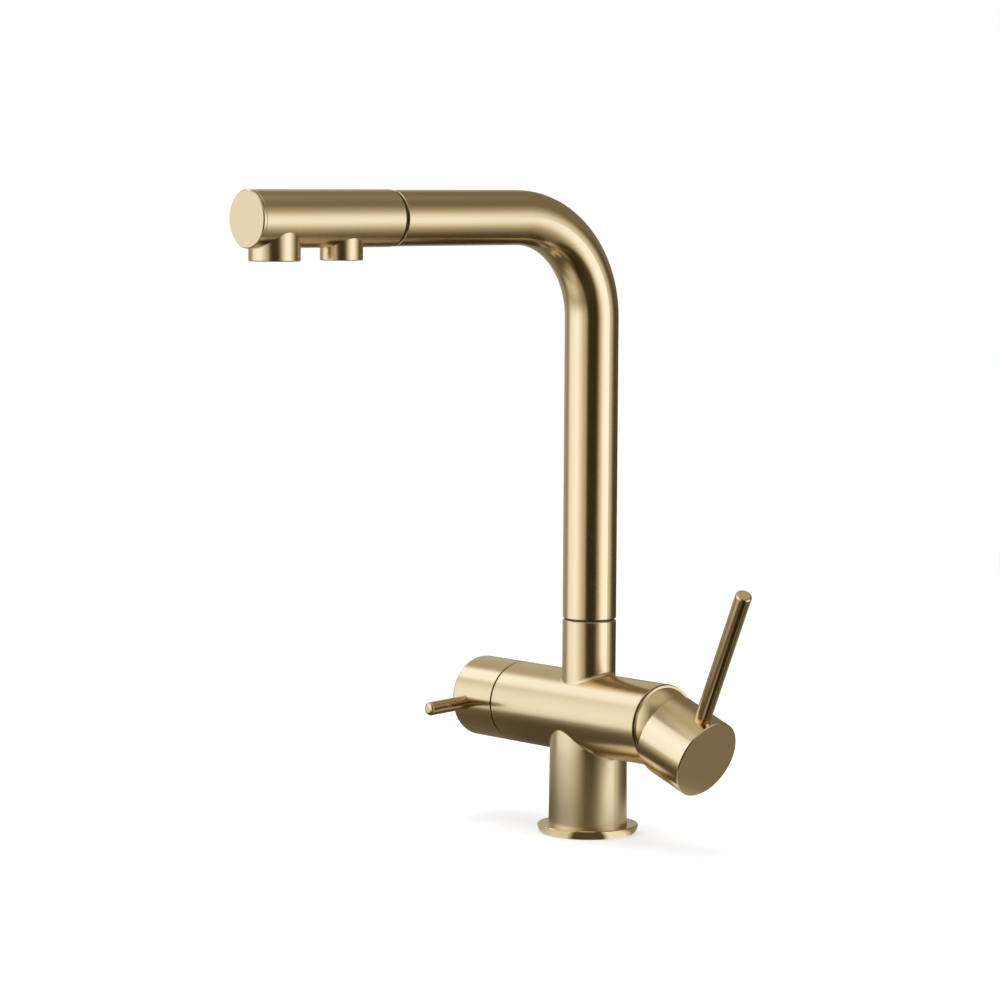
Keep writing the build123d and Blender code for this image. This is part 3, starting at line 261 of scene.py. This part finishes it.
# ------------------------------------------------------------------ shared effects
FINE_SHARE = 0.55            # share of the fine lines in the brushing; the rest are broad
FINE_DETAIL = 1.0
BROAD_SCALE = 0.17           # broad lines for each fine one
CLOUD_SCALE = 28.0           # clouds of the coating's tint to the metre
BLUE_DRIFT = 1.5             # how far the blue part wanders beside the red
STREAK = 0.10                # how much lighter a line can be than its neighbours
CLOUD_ROUGHNESS = 0.5        # how much the clouds change the roughness beside the lines
SKIN_SCALE = 90.0            # clouds of a moulded skin to the metre
SKIN_TONES = (0.92, 1.04)    # darkest and lightest
SKIN_ROUGHNESS = (0.85, 1.15)
SPECK_DETAIL = 3.0


def new_group(name, inputs, outputs):
    """An empty node group, from its sockets' names and kinds."""
    tree = bpy.data.node_groups.new(name, "ShaderNodeTree")
    for side, sockets in (("INPUT", inputs), ("OUTPUT", outputs)):
        for label, kind in sockets.items():
            tree.interface.new_socket(label, in_out=side, socket_type="NodeSocket" + kind)
    board = Board(tree)
    return board, board.add("NodeGroupInput").outputs, board.add("NodeGroupOutput").inputs


def brushing_group():
    """Fine lines along a piece, and the slow tint of its coating."""
    board, given, put = new_group(
        "brushing",
        {"Place": "Vector", "Pitch": "Float", "Length": "Float"},
        {"Lines": "Float", "Cloud": "Float"},
    )
    x, y, along = board.split(given["Place"])
    stretched = board.join(x, y, board.over(along, given["Length"]))
    scale = board.over(1.0, given["Pitch"])
    fine = board.noise(stretched, scale, FINE_DETAIL)
    broad = board.noise(stretched, board.times(scale, BROAD_SCALE))
    lines = board.plus(board.times(fine, FINE_SHARE), board.times(broad, 1 - FINE_SHARE))
    board.feed(put["Lines"], lines)
    board.feed(put["Cloud"], board.noise(given["Place"], CLOUD_SCALE))
    return board.tree


def coating_group():
    """How brushing and tint change a metal's colour and roughness."""
    board, given, put = new_group(
        "coating",
        {
            "Metal": "Color",
            "Lines": "Float",
            "Cloud": "Float",
            "Drift": "Float",
            "Rough": "Float",
            "Spread": "Float",
        },
        {"Color": "Color", "Roughness": "Float", "Height": "Float"},
    )
    lines = board.minus(given["Lines"], NOISE_MIDDLE)
    cloud = board.minus(given["Cloud"], NOISE_MIDDLE)
    # the coating wanders between a rosier and a greener gold
    tint = board.times(cloud, given["Drift"])
    red, blue = board.plus(1.0, tint), board.minus(1.0, board.times(tint, BLUE_DRIFT))
    tone = board.vector("MULTIPLY", given["Metal"], board.join(red, 1.0, blue))
    streak = board.plus(1.0, board.times(lines, STREAK))
    board.feed(put["Color"], board.scale(tone, streak))
    swing = board.plus(lines, board.times(cloud, CLOUD_ROUGHNESS))
    change = board.plus(1.0, board.times(swing, given["Spread"]))
    board.feed(put["Roughness"], board.times(given["Rough"], change, clamp=True))
    board.feed(put["Height"], lines)
    return board.tree


def moulding_group():
    """Faint cloudy skin of a moulded, pressed or lapped piece."""
    board, given, put = new_group(
        "moulding",
        {"Paint": "Color", "Rough": "Float", "Speck": "Float"},
        {"Color": "Color", "Roughness": "Float", "Height": "Float"},
    )
    place = board.add("ShaderNodeTexCoord").outputs["Object"]
    specks = board.noise(place, board.over(1.0, given["Speck"]), SPECK_DETAIL)
    clouds = board.noise(place, SKIN_SCALE)
    tone = board.ramp(clouds, NOISE_LOW, NOISE_HIGH, *SKIN_TONES)
    board.feed(put["Color"], board.scale(given["Paint"], tone))
    change = board.ramp(specks, NOISE_LOW, NOISE_HIGH, *SKIN_ROUGHNESS)
    board.feed(put["Roughness"], board.times(given["Rough"], change, clamp=True))
    board.feed(put["Height"], specks)
    return board.tree


def shared_group(name, build):
    """The node group of this name, built once."""
    return bpy.data.node_groups.get(name) or build()


# ------------------------------------------------------------------ brushing directions
# each gives the place, turned so that its third part runs along the brushing
UPRIGHT_FROM, UPRIGHT_FULL = CROSS_R + 0.1 * MM, CROSS_R + 3.0 * MM    # off the cross tube
MATT_BELOW, SATIN_ABOVE = CROSS_AXIS_Z - CROSS_R - 3.0 * MM, CROSS_AXIS_Z - 0.6 * CROSS_R
COLUMN_ROUGH, CROSS_ROUGH = 0.34, 0.22


def place_up(board, place):
    """Brushed upright."""
    return place


def place_across(board, place):
    """Brushed along the cross tube."""
    x, y, z = board.split(place)
    return board.join(y, z, x)


def place_body(board, place):
    """Brushed along the cross tube, and upright on the column and neck."""
    y, z = board.split(place)[1:]
    off_axis = board.hypotenuse(y, board.minus(z, CROSS_AXIS_Z))
    upright = board.ramp(off_axis, UPRIGHT_FROM, UPRIGHT_FULL)
    return board.blend(upright, place_across(board, place), place)


def body_rough(board, place):
    """The column is matter than the turned cross tube and neck."""
    height = board.split(place)[2]
    return board.ramp(height, MATT_BELOW, SATIN_ABOVE, COLUMN_ROUGH, CROSS_ROUGH)


def place_spout(board, place):
    """Brushed along the spout: up the riser, round the bend and out along the arm."""
    x, y, z = board.split(place)
    above = board.largest(board.minus(z, BEND_Z), 0.0)
    inward = board.largest(board.plus(y, BEND_R), 0.0)
    turned = board.times(board.math("ARCTAN2", above, inward), BEND_R)
    rise = board.math("MINIMUM", z, BEND_Z)
    out = board.largest(board.minus(-BEND_R, y), 0.0)
    along = board.plus(board.plus(rise, turned), out)
    return board.join(x, board.hypotenuse(above, inward), along)


def place_on(direction):
    """Brushed along a slanting piece, such as the mixer's cap or its rod."""
    ahead = direction.normalized()
    side = ahead.orthogonal().normalized()
    axes = (side, ahead.cross(side), ahead)

    def place_slanted(board, place):
        return board.join(*(board.vector("DOT_PRODUCT", place, axis[:]) for axis in axes))

    return place_slanted


# ------------------------------------------------------------------ materials
def skinned(name, skin_of, depth, metallic=0.0):
    """A material whose colour, roughness and bumps come from a skin."""
    material = bpy.data.materials.new(name)
    material.use_nodes = True
    board = Board(material.node_tree)
    shader = material.node_tree.nodes["Principled BSDF"]
    skin = skin_of(board)
    bump = board.add("ShaderNodeBump")
    board.feed(bump.inputs["Distance"], depth)
    board.feed(bump.inputs["Height"], skin["Height"])
    board.feed(shader.inputs["Base Color"], skin["Color"])
    board.feed(shader.inputs["Roughness"], skin["Roughness"])
    board.feed(shader.inputs["Normal"], bump.outputs["Normal"])
    shader.inputs["Metallic"].default_value = metallic
    return material


def metal(name, colour, place_of, rough, spread, drift, depth=1.0):
    """A brushed or turned metal; its roughness is a number, or a function of the place."""
    finish = bpy.context.scene.tap_finish

    def skin_of(board):
        spot = board.add("ShaderNodeTexCoord").outputs["Object"]
        lines = board.group(
            shared_group("brushing", brushing_group),
            place=place_of(board, spot), pitch=finish.grain_pitch, length=finish.grain_length,
        )
        return board.group(
            shared_group("coating", coating_group),
            metal=(*colour, 1.0), lines=lines["Lines"], cloud=lines["Cloud"], drift=drift,
            rough=rough(board, spot) if callable(rough) else rough, spread=spread,
        )

    return skinned(name, skin_of, finish.grain_depth * depth, metallic=1.0)


def moulded(name, colour, rough, speck, depth):
    """A moulded, pressed or lapped material that isn't a metal."""

    def skin_of(board):
        group = shared_group("moulding", moulding_group)
        return board.group(group, paint=(*colour, 1.0), rough=rough, speck=speck)

    return skinned(name, skin_of, depth)


def satin_gold(name, place_of, rough=None):
    """The satin gold coating, brushed one way."""
    finish = bpy.context.scene.tap_finish
    return metal(
        name, finish.gold, place_of, rough=rough or finish.satin, spread=0.25, drift=finish.drift
    )


def polished_gold(name, place_of):
    """The polished gold coating."""
    finish = bpy.context.scene.tap_finish
    return metal(
        name, finish.gold, place_of, rough=finish.polished, spread=0.2, drift=finish.drift,
        depth=0.3,
    )


def cover(material, *nodes):
    """Give CAD pieces a material."""
    for name in nodes:
        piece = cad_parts[name]
        piece.data.materials.clear()
        piece.data.materials.append(material)


# ------------------------------------------------------------------ pieces
HEAD_ROUGH = 0.24            # the head is a little matter than the spout
BRASS = {"rough": 0.32, "spread": 0.4, "drift": 0.04}
BRASS_OUTLET = {"rough": 0.25, "spread": 0.3, "drift": 0.04}
STEEL = {"rough": 0.3, "spread": 0.4, "drift": 0.0}
WHITE_SKIN = {"rough": 0.42, "speck": 0.9 * MM, "depth": 0.01 * MM}
GREY_SKIN = {"rough": 0.48, "speck": 0.7 * MM, "depth": 0.01 * MM}
BLACK_SKIN = {"rough": 0.4, "speck": 0.9 * MM, "depth": 0.01 * MM}
LAPPED_SKIN = {"rough": 0.22, "speck": 1.2 * MM, "depth": 0.002 * MM}
RUBBER_SKIN = {"rough": 0.62, "speck": 0.5 * MM, "depth": 0.02 * MM}

MIXER_CAP_AXIS = Vector((
    cos(MIXER_TILT), sin(MIXER_TILT) * sin(MIXER_TURN), -sin(MIXER_TILT) * cos(MIXER_TURN)
))
MIXER_CAP_UP = Vector((
    sin(MIXER_TILT), -cos(MIXER_TILT) * sin(MIXER_TURN), cos(MIXER_TILT) * cos(MIXER_TURN)
))
MIXER_ROD_AXIS = MIXER_CAP_UP * cos(MIXER_ROD_LEAN) + MIXER_CAP_AXIS * sin(MIXER_ROD_LEAN)
FILTER_PIN_AXIS = Vector((0, -cos(FILTER_PIN_DIP), -sin(FILTER_PIN_DIP)))


class TAP_OT_body(bpy.types.Operator):
    """Finish the body casting and the ball-shaped cover of the cartridge"""

    bl_idname = "tap.body"
    bl_label = "Body"

    def execute(self, context):
        cover(satin_gold("gold_body", place_body, body_rough), "body_casting")
        cover(satin_gold("gold_cover", place_across), "dome_cover")
        return {"FINISHED"}


class TAP_OT_base(bpy.types.Operator):
    """Finish the flange on the worktop"""

    bl_idname = "tap.base"
    bl_label = "Base flange"

    def execute(self, context):
        cover(polished_gold("gold_flange", place_up), "base_flange")
        return {"FINISHED"}


class TAP_OT_spout(bpy.types.Operator):
    """Finish the spout tube and the head at its end"""

    bl_idname = "tap.spout"
    bl_label = "Spout and head"

    def execute(self, context):
        cover(satin_gold("gold_spout", place_spout), "spout_tube")
        cover(satin_gold("gold_head", place_spout, HEAD_ROUGH), "head_shell")
        cover(satin_gold("gold_head_end", place_spout), "head_end_cap")
        return {"FINISHED"}


class TAP_OT_caps(bpy.types.Operator):
    """Finish the two turning caps"""

    bl_idname = "tap.caps"
    bl_label = "Caps"

    def execute(self, context):
        cover(satin_gold("gold_mixer_cap", place_on(MIXER_CAP_AXIS)), "mixer_cap")
        cover(satin_gold("gold_filter_cap", place_across), "filter_cap")
        return {"FINISHED"}


class TAP_OT_levers(bpy.types.Operator):
    """Finish the two levers"""

    bl_idname = "tap.levers"
    bl_label = "Levers"

    def execute(self, context):
        cover(polished_gold("gold_mixer_lever", place_on(MIXER_ROD_AXIS)), "mixer_lever")
        cover(polished_gold("gold_filter_lever", place_on(FILTER_PIN_AXIS)), "filter_lever")
        return {"FINISHED"}


class TAP_OT_brass(bpy.types.Operator):
    """Finish the uncoated brass pieces"""

    bl_idname = "tap.brass"
    bl_label = "Brass fittings"

    def execute(self, context):
        brass = context.scene.tap_finish.brass
        upright = metal("brass_upright", brass, place_up, **BRASS)
        across = metal("brass_across", brass, place_across, **BRASS)
        arm = metal("brass_arm", brass, place_spout, **BRASS)
        outlets = metal("brass_outlets", brass, place_up, **BRASS_OUTLET)
        cover(upright, "spout_spigot", "filter_tube_foot")
        cover(across, "cartridge_nut", "filter_valve_body", "filter_valve_spindle")
        cover(arm, "head_connector")
        cover(outlets, "main_aerator_housing", "filter_aerator_housing")
        return {"FINISHED"}


class TAP_OT_steel(bpy.types.Operator):
    """Finish the steel screws, pin and stem"""

    bl_idname = "tap.steel"
    bl_label = "Steel pieces"

    def execute(self, context):
        steel = context.scene.tap_finish.steel
        turned = metal("steel_turned", steel, place_up, **STEEL)
        slanted = metal("steel_stem", steel, place_on(MIXER_CAP_AXIS), **STEEL)
        cover(turned, "spout_retaining_screw", "mixer_grub_screw", "filter_grub_screw")
        cover(slanted, "cartridge_stem", "cartridge_pivot_pin")
        return {"FINISHED"}


class TAP_OT_plastic(bpy.types.Operator):
    """Finish the plastic and ceramic pieces"""

    bl_idname = "tap.plastic"
    bl_label = "Plastic and ceramic"

    def execute(self, context):
        finish = context.scene.tap_finish
        white = moulded("plastic_white", finish.white_plastic, **WHITE_SKIN)
        grey = moulded("plastic_grey", finish.grey_plastic, **GREY_SKIN)
        disc = moulded("ceramic_lapped", finish.ceramic, **LAPPED_SKIN)
        black = moulded("plastic_black", finish.black_plastic, **BLACK_SKIN)
        cover(black, "swivel_washer")
        cover(white, "head_waterway", "filter_tube")
        cover(grey, "cartridge_base", "cartridge_body", "cartridge_turret")
        cover(grey, "cartridge_disc_carrier", "main_aerator_insert", "filter_aerator_insert")
        cover(disc, "cartridge_fixed_disc", "cartridge_moving_disc")
        cover(disc, "filter_fixed_disc", "filter_rotor_disc")
        return {"FINISHED"}


class TAP_OT_seals(bpy.types.Operator):
    """Finish the rubber seals and gaskets"""

    bl_idname = "tap.seals"
    bl_label = "Seals"

    def execute(self, context):
        rubber = moulded("rubber_seal", context.scene.tap_finish.rubber, **RUBBER_SKIN)
        cover(rubber, "base_seal", "spout_o_rings", "filter_tube_o_ring", "head_gasket")
        cover(rubber, "cartridge_seals", "filter_valve_gasket")
        return {"FINISHED"}


# ------------------------------------------------------------------ camera
SENSOR_WIDTH = 36.0          # millimetres
CLIP_START, CLIP_END = 0.05, 30.0


def camera_axes(stage):
    """The camera's right, up and forward directions."""
    turn, dip, roll = stage.camera_turn, stage.camera_dip, stage.camera_roll
    forward = Vector((-sin(turn) * cos(dip), cos(turn) * cos(dip), -sin(dip)))
    right = Vector((cos(turn), sin(turn), 0.0))
    up = right.cross(forward)
    return right * cos(roll) + up * sin(roll), up * cos(roll) - right * sin(roll), forward


def set_camera(stage):
    """The photograph's viewpoint."""
    right, up, forward = camera_axes(stage)
    lens = bpy.data.cameras.new("camera")
    lens.lens = stage.lens
    lens.sensor_width = SENSOR_WIDTH
    lens.clip_start, lens.clip_end = CLIP_START, CLIP_END
    camera = bpy.data.objects.new("camera", lens)
    out, side = stage.camera_out, stage.camera_side
    spot = Vector((out * sin(side), -out * cos(side), stage.camera_height))
    camera.matrix_world = Matrix((
        (right.x, up.x, -forward.x, spot.x),
        (right.y, up.y, -forward.y, spot.y),
        (right.z, up.z, -forward.z, spot.z),
        (0, 0, 0, 1),
    ))
    bpy.context.scene.collection.objects.link(camera)
    bpy.context.scene.camera = camera


# ------------------------------------------------------------------ lamps
# bearings are in degrees round the tap from the camera, and right of it is positive
LAMP_AIM = Vector((0, -0.03, 0.16))
SIDE_LAMPS = (("lamp_left", -62, 0.9), ("lamp_right", 60, 0.8))    # bearing and height
SIDE_LAMP_OUT, SIDE_LAMP_SIZE, SIDE_LAMP_POWER = 1.5, 1.2, 8
TOP_LAMP_SPOT = Vector((-0.2, -0.1, 1.7))
TOP_LAMP_SIZE, TOP_LAMP_POWER = 0.9, 9


def studio_point(stage, bearing, distance, height):
    """A point round the tap."""
    turn = stage.camera_turn
    to_camera = Vector((sin(turn), -cos(turn), 0.0))
    to_right = Vector((cos(turn), sin(turn), 0.0))
    spot = (to_camera * cos(radians(bearing)) + to_right * sin(radians(bearing))) * distance
    return Vector((spot.x, spot.y, height))


def studio_direction(stage, bearing, rise=0):
    """A direction from the tap; its rise above level is in degrees too."""
    return studio_point(stage, bearing, cos(radians(rise)), sin(radians(rise)))[:]


def soft_lamp(name, spot, size, power):
    """A large soft lamp that points at the tap."""
    light = bpy.data.lights.new(name, "AREA")
    light.shape = "SQUARE"
    light.size = size
    light.energy = power
    lamp = bpy.data.objects.new(name, light)
    lamp.location = spot
    lamp.rotation_euler = (LAMP_AIM - spot).to_track_quat("-Z", "Y").to_euler()
    lamp.visible_glossy = False    # the metal sees the surround's soft boxes instead
    bpy.context.scene.collection.objects.link(lamp)


def set_lamps(stage):
    """A lamp left and right of the camera, and one overhead."""
    for name, bearing, height in SIDE_LAMPS:
        spot = studio_point(stage, bearing, SIDE_LAMP_OUT, height)
        soft_lamp(name, spot, SIDE_LAMP_SIZE, SIDE_LAMP_POWER * stage.side_light)
    soft_lamp("lamp_top", TOP_LAMP_SPOT, TOP_LAMP_SIZE, TOP_LAMP_POWER * stage.top_light)


# ------------------------------------------------------------------ what the metal sees
# levels as (degrees, level), by bearing or by rise; where both are given, they are multiplied
LEFT_BOX_ROUND = [
    (-180, 0.5), (-150, 0.5), (-122, 0.34), (-113, 0.55), (-104, 1.15), (-80, 1.35), (-64, 1.5),
    (-50, 1.18), (-37, 0.82), (-25, 0.58), (-20, 0.5), (-17, 0.03), (180, 0.03),
]
LEFT_BOX_UP = [
    (-90, 0.04), (-72, 0.04), (-58, 0.2), (-48, 0.5), (-38, 0.6), (-22, 0.42), (-15, 0.65),
    (-8, 0.93), (0, 1.0), (30, 1.0), (50, 0.75), (70, 0.5), (90, 0.5),
]
# the right box by degrees off its middle, and cut off at a near and a far edge
RIGHT_BOX_MIDDLE = (66, -5)      # bearing and rise
RIGHT_BOX = [
    (0, 1.5), (12, 1.4), (20, 1.05), (30, 0.62), (42, 0.34), (52, 0.22), (75, 0.1), (180, 0.05),
]
RIGHT_NEAR_EDGE = [(-180, 0.0), (18, 0.0), (26, 0.25), (35, 1.0), (180, 1.0)]
RIGHT_FAR_EDGE = [(-180, 1.0), (95, 1.0), (110, 0.4), (150, 0.2), (180, 0.2)]
LEAN_BELOW, LEAN = -10.0, 0.8    # rise under which the near edge leans away, and how much
BACK_WALL_ROUND = [
    (-180, 0.55), (-130, 0.5), (-115, 0.0), (110, 0.0), (130, 0.22), (170, 0.22), (180, 0.5),
]
BACK_WALL_UP = (-15.0, 15.0, 0.2)    # it grows between these rises, from this share
BACK_STRIP_ROUND = [
    (-180, 0.4), (-130, 0.4), (-100, 0.0), (115, 0.0), (140, 0.4), (180, 0.4),
]
BACK_STRIP_UP = [(-90, 0.0), (-31, 0.0), (-24, 1.0), (-15, 1.0), (-10, 0.0), (90, 0.0)]
LOW_WALL_ROUND = [
    (-180, 0.06), (50, 0.06), (85, 0.24), (125, 0.24), (150, 0.06), (180, 0.06),
]
LOW_WALL_UP = [(-90, 0.0), (-54, 0.0), (-38, 1.0), (-22, 1.0), (-13, 0.0), (90, 0.0)]
ROOM_UP = [
    (-90, 0.03), (-13, 0.04), (8, 0.04), (20, 0.22), (48, 0.22), (70, 0.6), (90, 0.6),
]
UPPER_LAMP_MIDDLE = (-124, 38)
UPPER_LAMP = [(0, 1.1), (8, 1.0), (14, 0.2), (18, 0.0), (180, 0.0)]
# the colour of each level: darker tones are warmer
STUDIO_TONE = [
    (0.0, (0.0, 0.0, 0.0)), (0.05, (0.05, 0.04, 0.016)), (0.2, (0.2, 0.182, 0.135)),
    (0.67, (0.67, 0.67, 0.57)), (1.15, (1.12, 1.24, 1.34)), (1.5, (1.38, 1.6, 1.95)),
    (2.5, (2.2, 2.6, 3.2)),
]
# painted shadow and painted light that the metal sees on the worktop, ring by ring: millimetres
# out, and then levels by bearing; the dark near the tap is painted shadow, and painted reflection
# of the dark front
PAINTED_WORKTOP_SHADE_RINGS = [
    (38, [
        (-180, 0.4), (-90, 0.5), (-50, 0.9), (-28, 0.9), (-20, 0.1), (18, 0.1), (26, 1.2),
        (52, 1.1), (70, 0.3), (180, 0.4),
    ]),
    (50, [(-180, 0.1), (-20, 0.1), (60, 0.3), (90, 0.5), (180, 0.4)]),
    (80, [(-180, 0.1), (0, 0.12), (20, 0.4), (45, 0.95), (90, 0.55), (150, 0.7), (180, 0.3)]),
    (130, [
        (-180, 0.25), (-110, 0.1), (-85, 0.12), (-55, 0.32), (-35, 0.35), (-12, 0.1), (10, 0.2),
        (30, 0.8), (50, 1.0), (90, 0.7), (180, 0.4),
    ]),
    (190, [
        (-180, 0.25), (-130, 0.15), (-102, 0.15), (-85, 0.4), (-70, 0.6), (-40, 0.7), (-15, 0.1),
        (10, 0.05), (60, 0.4), (180, 0.25),
    ]),
]
PAINTED_WORKTOP_REACH = [
    (-180, 170), (-110, 240), (-70, 290), (-30, 270), (5, 180), (25, 100), (120, 100), (180, 170),
]
REACH_FADE = (0.9, 1.1)          # shares of the reach between which the painted worktop fades away


def bearing_of(stage, board, way):
    """The bearing of a place or a direction."""
    ahead = board.vector("DOT_PRODUCT", way, studio_direction(stage, 0))
    aside = board.vector("DOT_PRODUCT", way, studio_direction(stage, 90))
    return board.angle("ARCTAN2", aside, ahead)


def surround(stage, board):
    """A soft box left and right, a pale wall behind the tap, and dark towards the camera."""
    look = board.add("ShaderNodeTexCoord").outputs["Generated"]
    bearing = bearing_of(stage, board, look)
    rise = board.angle("ARCSINE", board.split(look)[2])

    def area(levels_round, levels_up):
        return board.times(board.levels(bearing, levels_round), board.levels(rise, levels_up))

    def spot(middle, levels_off):
        near = board.vector("DOT_PRODUCT", look, studio_direction(stage, *middle))
        return board.levels(board.angle("ARCCOSINE", near), levels_off)

    lean = board.times(board.math("MINIMUM", board.minus(rise, LEAN_BELOW), 0.0), LEAN)
    near_edge = board.levels(board.plus(bearing, lean), RIGHT_NEAR_EDGE)
    edges = board.times(near_edge, board.levels(bearing, RIGHT_FAR_EDGE))
    right_box = board.times(spot(RIGHT_BOX_MIDDLE, RIGHT_BOX), edges)
    back_wall = board.times(
        board.levels(bearing, BACK_WALL_ROUND), board.ramp(rise, *BACK_WALL_UP)
    )
    room = board.largest(
        area(LEFT_BOX_ROUND, LEFT_BOX_UP),
        right_box,
        back_wall,
        area(BACK_STRIP_ROUND, BACK_STRIP_UP),
        area(LOW_WALL_ROUND, LOW_WALL_UP),
        board.levels(rise, ROOM_UP),
    )
    level = board.plus(room, spot(UPPER_LAMP_MIDDLE, UPPER_LAMP))
    return board.levels(level, STUDIO_TONE)


def painted_worktop_light_and_shade(stage, board, place):
    """Painted shadow and painted light of the worktop as the metal sees it, and how much of it
    hides the surround.
    """
    bearing = bearing_of(stage, board, place)
    out = board.over(board.vector("LENGTH", place), MM)
    inner, stops = PAINTED_WORKTOP_SHADE_RINGS[0]
    level = board.levels(bearing, stops)
    for ring, stops in PAINTED_WORKTOP_SHADE_RINGS[1:]:
        level = board.blend(board.ramp(out, inner, ring), level, board.levels(bearing, stops))
        inner = ring
    reach = board.levels(bearing, PAINTED_WORKTOP_REACH)
    share = board.ramp(board.over(out, reach), *REACH_FADE, 1.0, 0.0)
    return board.levels(level, STUDIO_TONE), share


# ------------------------------------------------------------------ floor and world
FLOOR_HALF = 4               # metres
FLOOR_GRAIN, GRAIN_DETAIL = 60.0, 3.0
FLOOR_TONES = (0.99, 1.01)
FLOOR_GLOW = 0.45            # makes the lit floor show white, and keeps its shadow
BACKDROP_FROM, BACKDROP_FULL = 0.7, 1.6    # metres out, where the floor turns backdrop


def floor_material(stage):
    """A pale floor that shows white round the tap and keeps its shadow."""
    material = bpy.data.materials.new("floor")
    material.use_nodes = True
    board = Board(material.node_tree)
    nodes = material.node_tree.nodes
    nodes.remove(nodes["Principled BSDF"])
    straight, mirrored = board.rays()
    place = board.add("ShaderNodeNewGeometry").outputs["Position"]
    grain = board.noise(place, FLOOR_GRAIN, GRAIN_DETAIL)
    tone = board.ramp(grain, NOISE_LOW, NOISE_HIGH, *FLOOR_TONES)
    matt = board.add("ShaderNodeBsdfDiffuse")
    board.feed(matt.inputs["Color"], board.scale(stage.floor[:], tone))
    glow = board.emission(None, board.times(straight, FLOOR_GLOW))
    lit = board.fill(board.add("ShaderNodeAddShader"), matt.outputs[0], glow)
    # further out the floor is the backdrop's white
    far = board.ramp(board.vector("LENGTH", place), BACKDROP_FROM, BACKDROP_FULL)
    shown = board.shaders(far, lit, board.emission(None, straight))
    # the metal sees a worktop of painted shadow and painted light, glowing for mirrored rays
    # only, and past that the soft boxes
    colour, share = painted_worktop_light_and_shade(stage, board, place)
    clear = board.add("ShaderNodeBsdfTransparent").outputs[0]
    reflected = board.shaders(share, clear, board.emission(colour, None))
    surface = board.shaders(mirrored, shown, reflected)
    board.feed(nodes["Material Output"].inputs["Surface"], surface)
    return material


def set_floor(stage):
    """The floor that the tap stands on."""
    mesh = bpy.data.meshes.new("floor")
    half = FLOOR_HALF
    corners = [(-half, -half, 0), (half, -half, 0), (half, half, 0), (-half, half, 0)]
    mesh.from_pydata(corners, [], [(0, 1, 2, 3)])
    mesh.materials.append(floor_material(stage))
    piece = bpy.data.objects.new("floor", mesh)
    bpy.context.scene.collection.objects.link(piece)


def set_world(stage):
    """White seen behind the tap, soft boxes in its metal, and an even light from all round."""
    world = bpy.data.worlds.new("studio")
    world.use_nodes = True
    board = Board(world.node_tree)
    nodes = world.node_tree.nodes
    straight, mirrored = board.rays()
    room = nodes["Background"]
    room.inputs["Color"].default_value = (1, 1, 1, 1)
    board.feed(room.inputs["Strength"], board.ramp(straight, 0.0, 1.0, stage.room, 1.0))
    boxes = board.add("ShaderNodeBackground")
    board.feed(boxes.inputs["Color"], surround(stage, board))
    surface = board.shaders(mirrored, room.outputs[0], boxes.outputs[0])
    board.feed(nodes["World Output"].inputs["Surface"], surface)
    world.cycles.sampling_method = "NONE"
    bpy.context.scene.world = world


class TAP_OT_stage(bpy.types.Operator):
    """Set up the camera, the surround, the floor and the lamps"""

    bl_idname = "tap.stage"
    bl_label = "Studio"

    def execute(self, context):
        stage = context.scene.tap_stage
        set_camera(stage)
        set_world(stage)
        set_floor(stage)
        set_lamps(stage)
        context.scene.view_settings.view_transform = "Standard"
        return {"FINISHED"}


class TAP_PT_panel(bpy.types.Panel):
    """The tap's pieces and studio"""

    bl_idname = "TAP_PT_panel"
    bl_label = "Tap"
    bl_space_type = "VIEW_3D"
    bl_region_type = "UI"
    bl_category = "Tap"

    def draw(self, context):
        for settings in (context.scene.tap_finish, context.scene.tap_stage):
            box = self.layout.box()
            for name in settings.bl_rna.properties.keys():
                if name not in {"rna_type", "name"}:
                    box.prop(settings, name)
        for step in steps:
            self.layout.operator(step.bl_idname)


steps = (
    TAP_OT_body, TAP_OT_base, TAP_OT_spout, TAP_OT_caps, TAP_OT_levers,
    TAP_OT_brass, TAP_OT_steel, TAP_OT_plastic, TAP_OT_seals, TAP_OT_stage,
)
classes = (TapFinish, TapStage, *steps, TAP_PT_panel)


def register():
    """Add the settings, operators and panel."""
    for item in classes:
        bpy.utils.register_class(item)
    bpy.types.Scene.tap_finish = bpy.props.PointerProperty(type=TapFinish)
    bpy.types.Scene.tap_stage = bpy.props.PointerProperty(type=TapStage)


def unregister():
    """Take them away again."""
    del bpy.types.Scene.tap_finish
    del bpy.types.Scene.tap_stage
    for item in reversed(classes):
        bpy.utils.unregister_class(item)


def main():
    """Finish every piece and set the studio."""
    register()
    for step in steps:
        area, name = step.bl_idname.split(".")
        getattr(getattr(bpy.ops, area), name)()


if __name__ == "__main__":
    main()
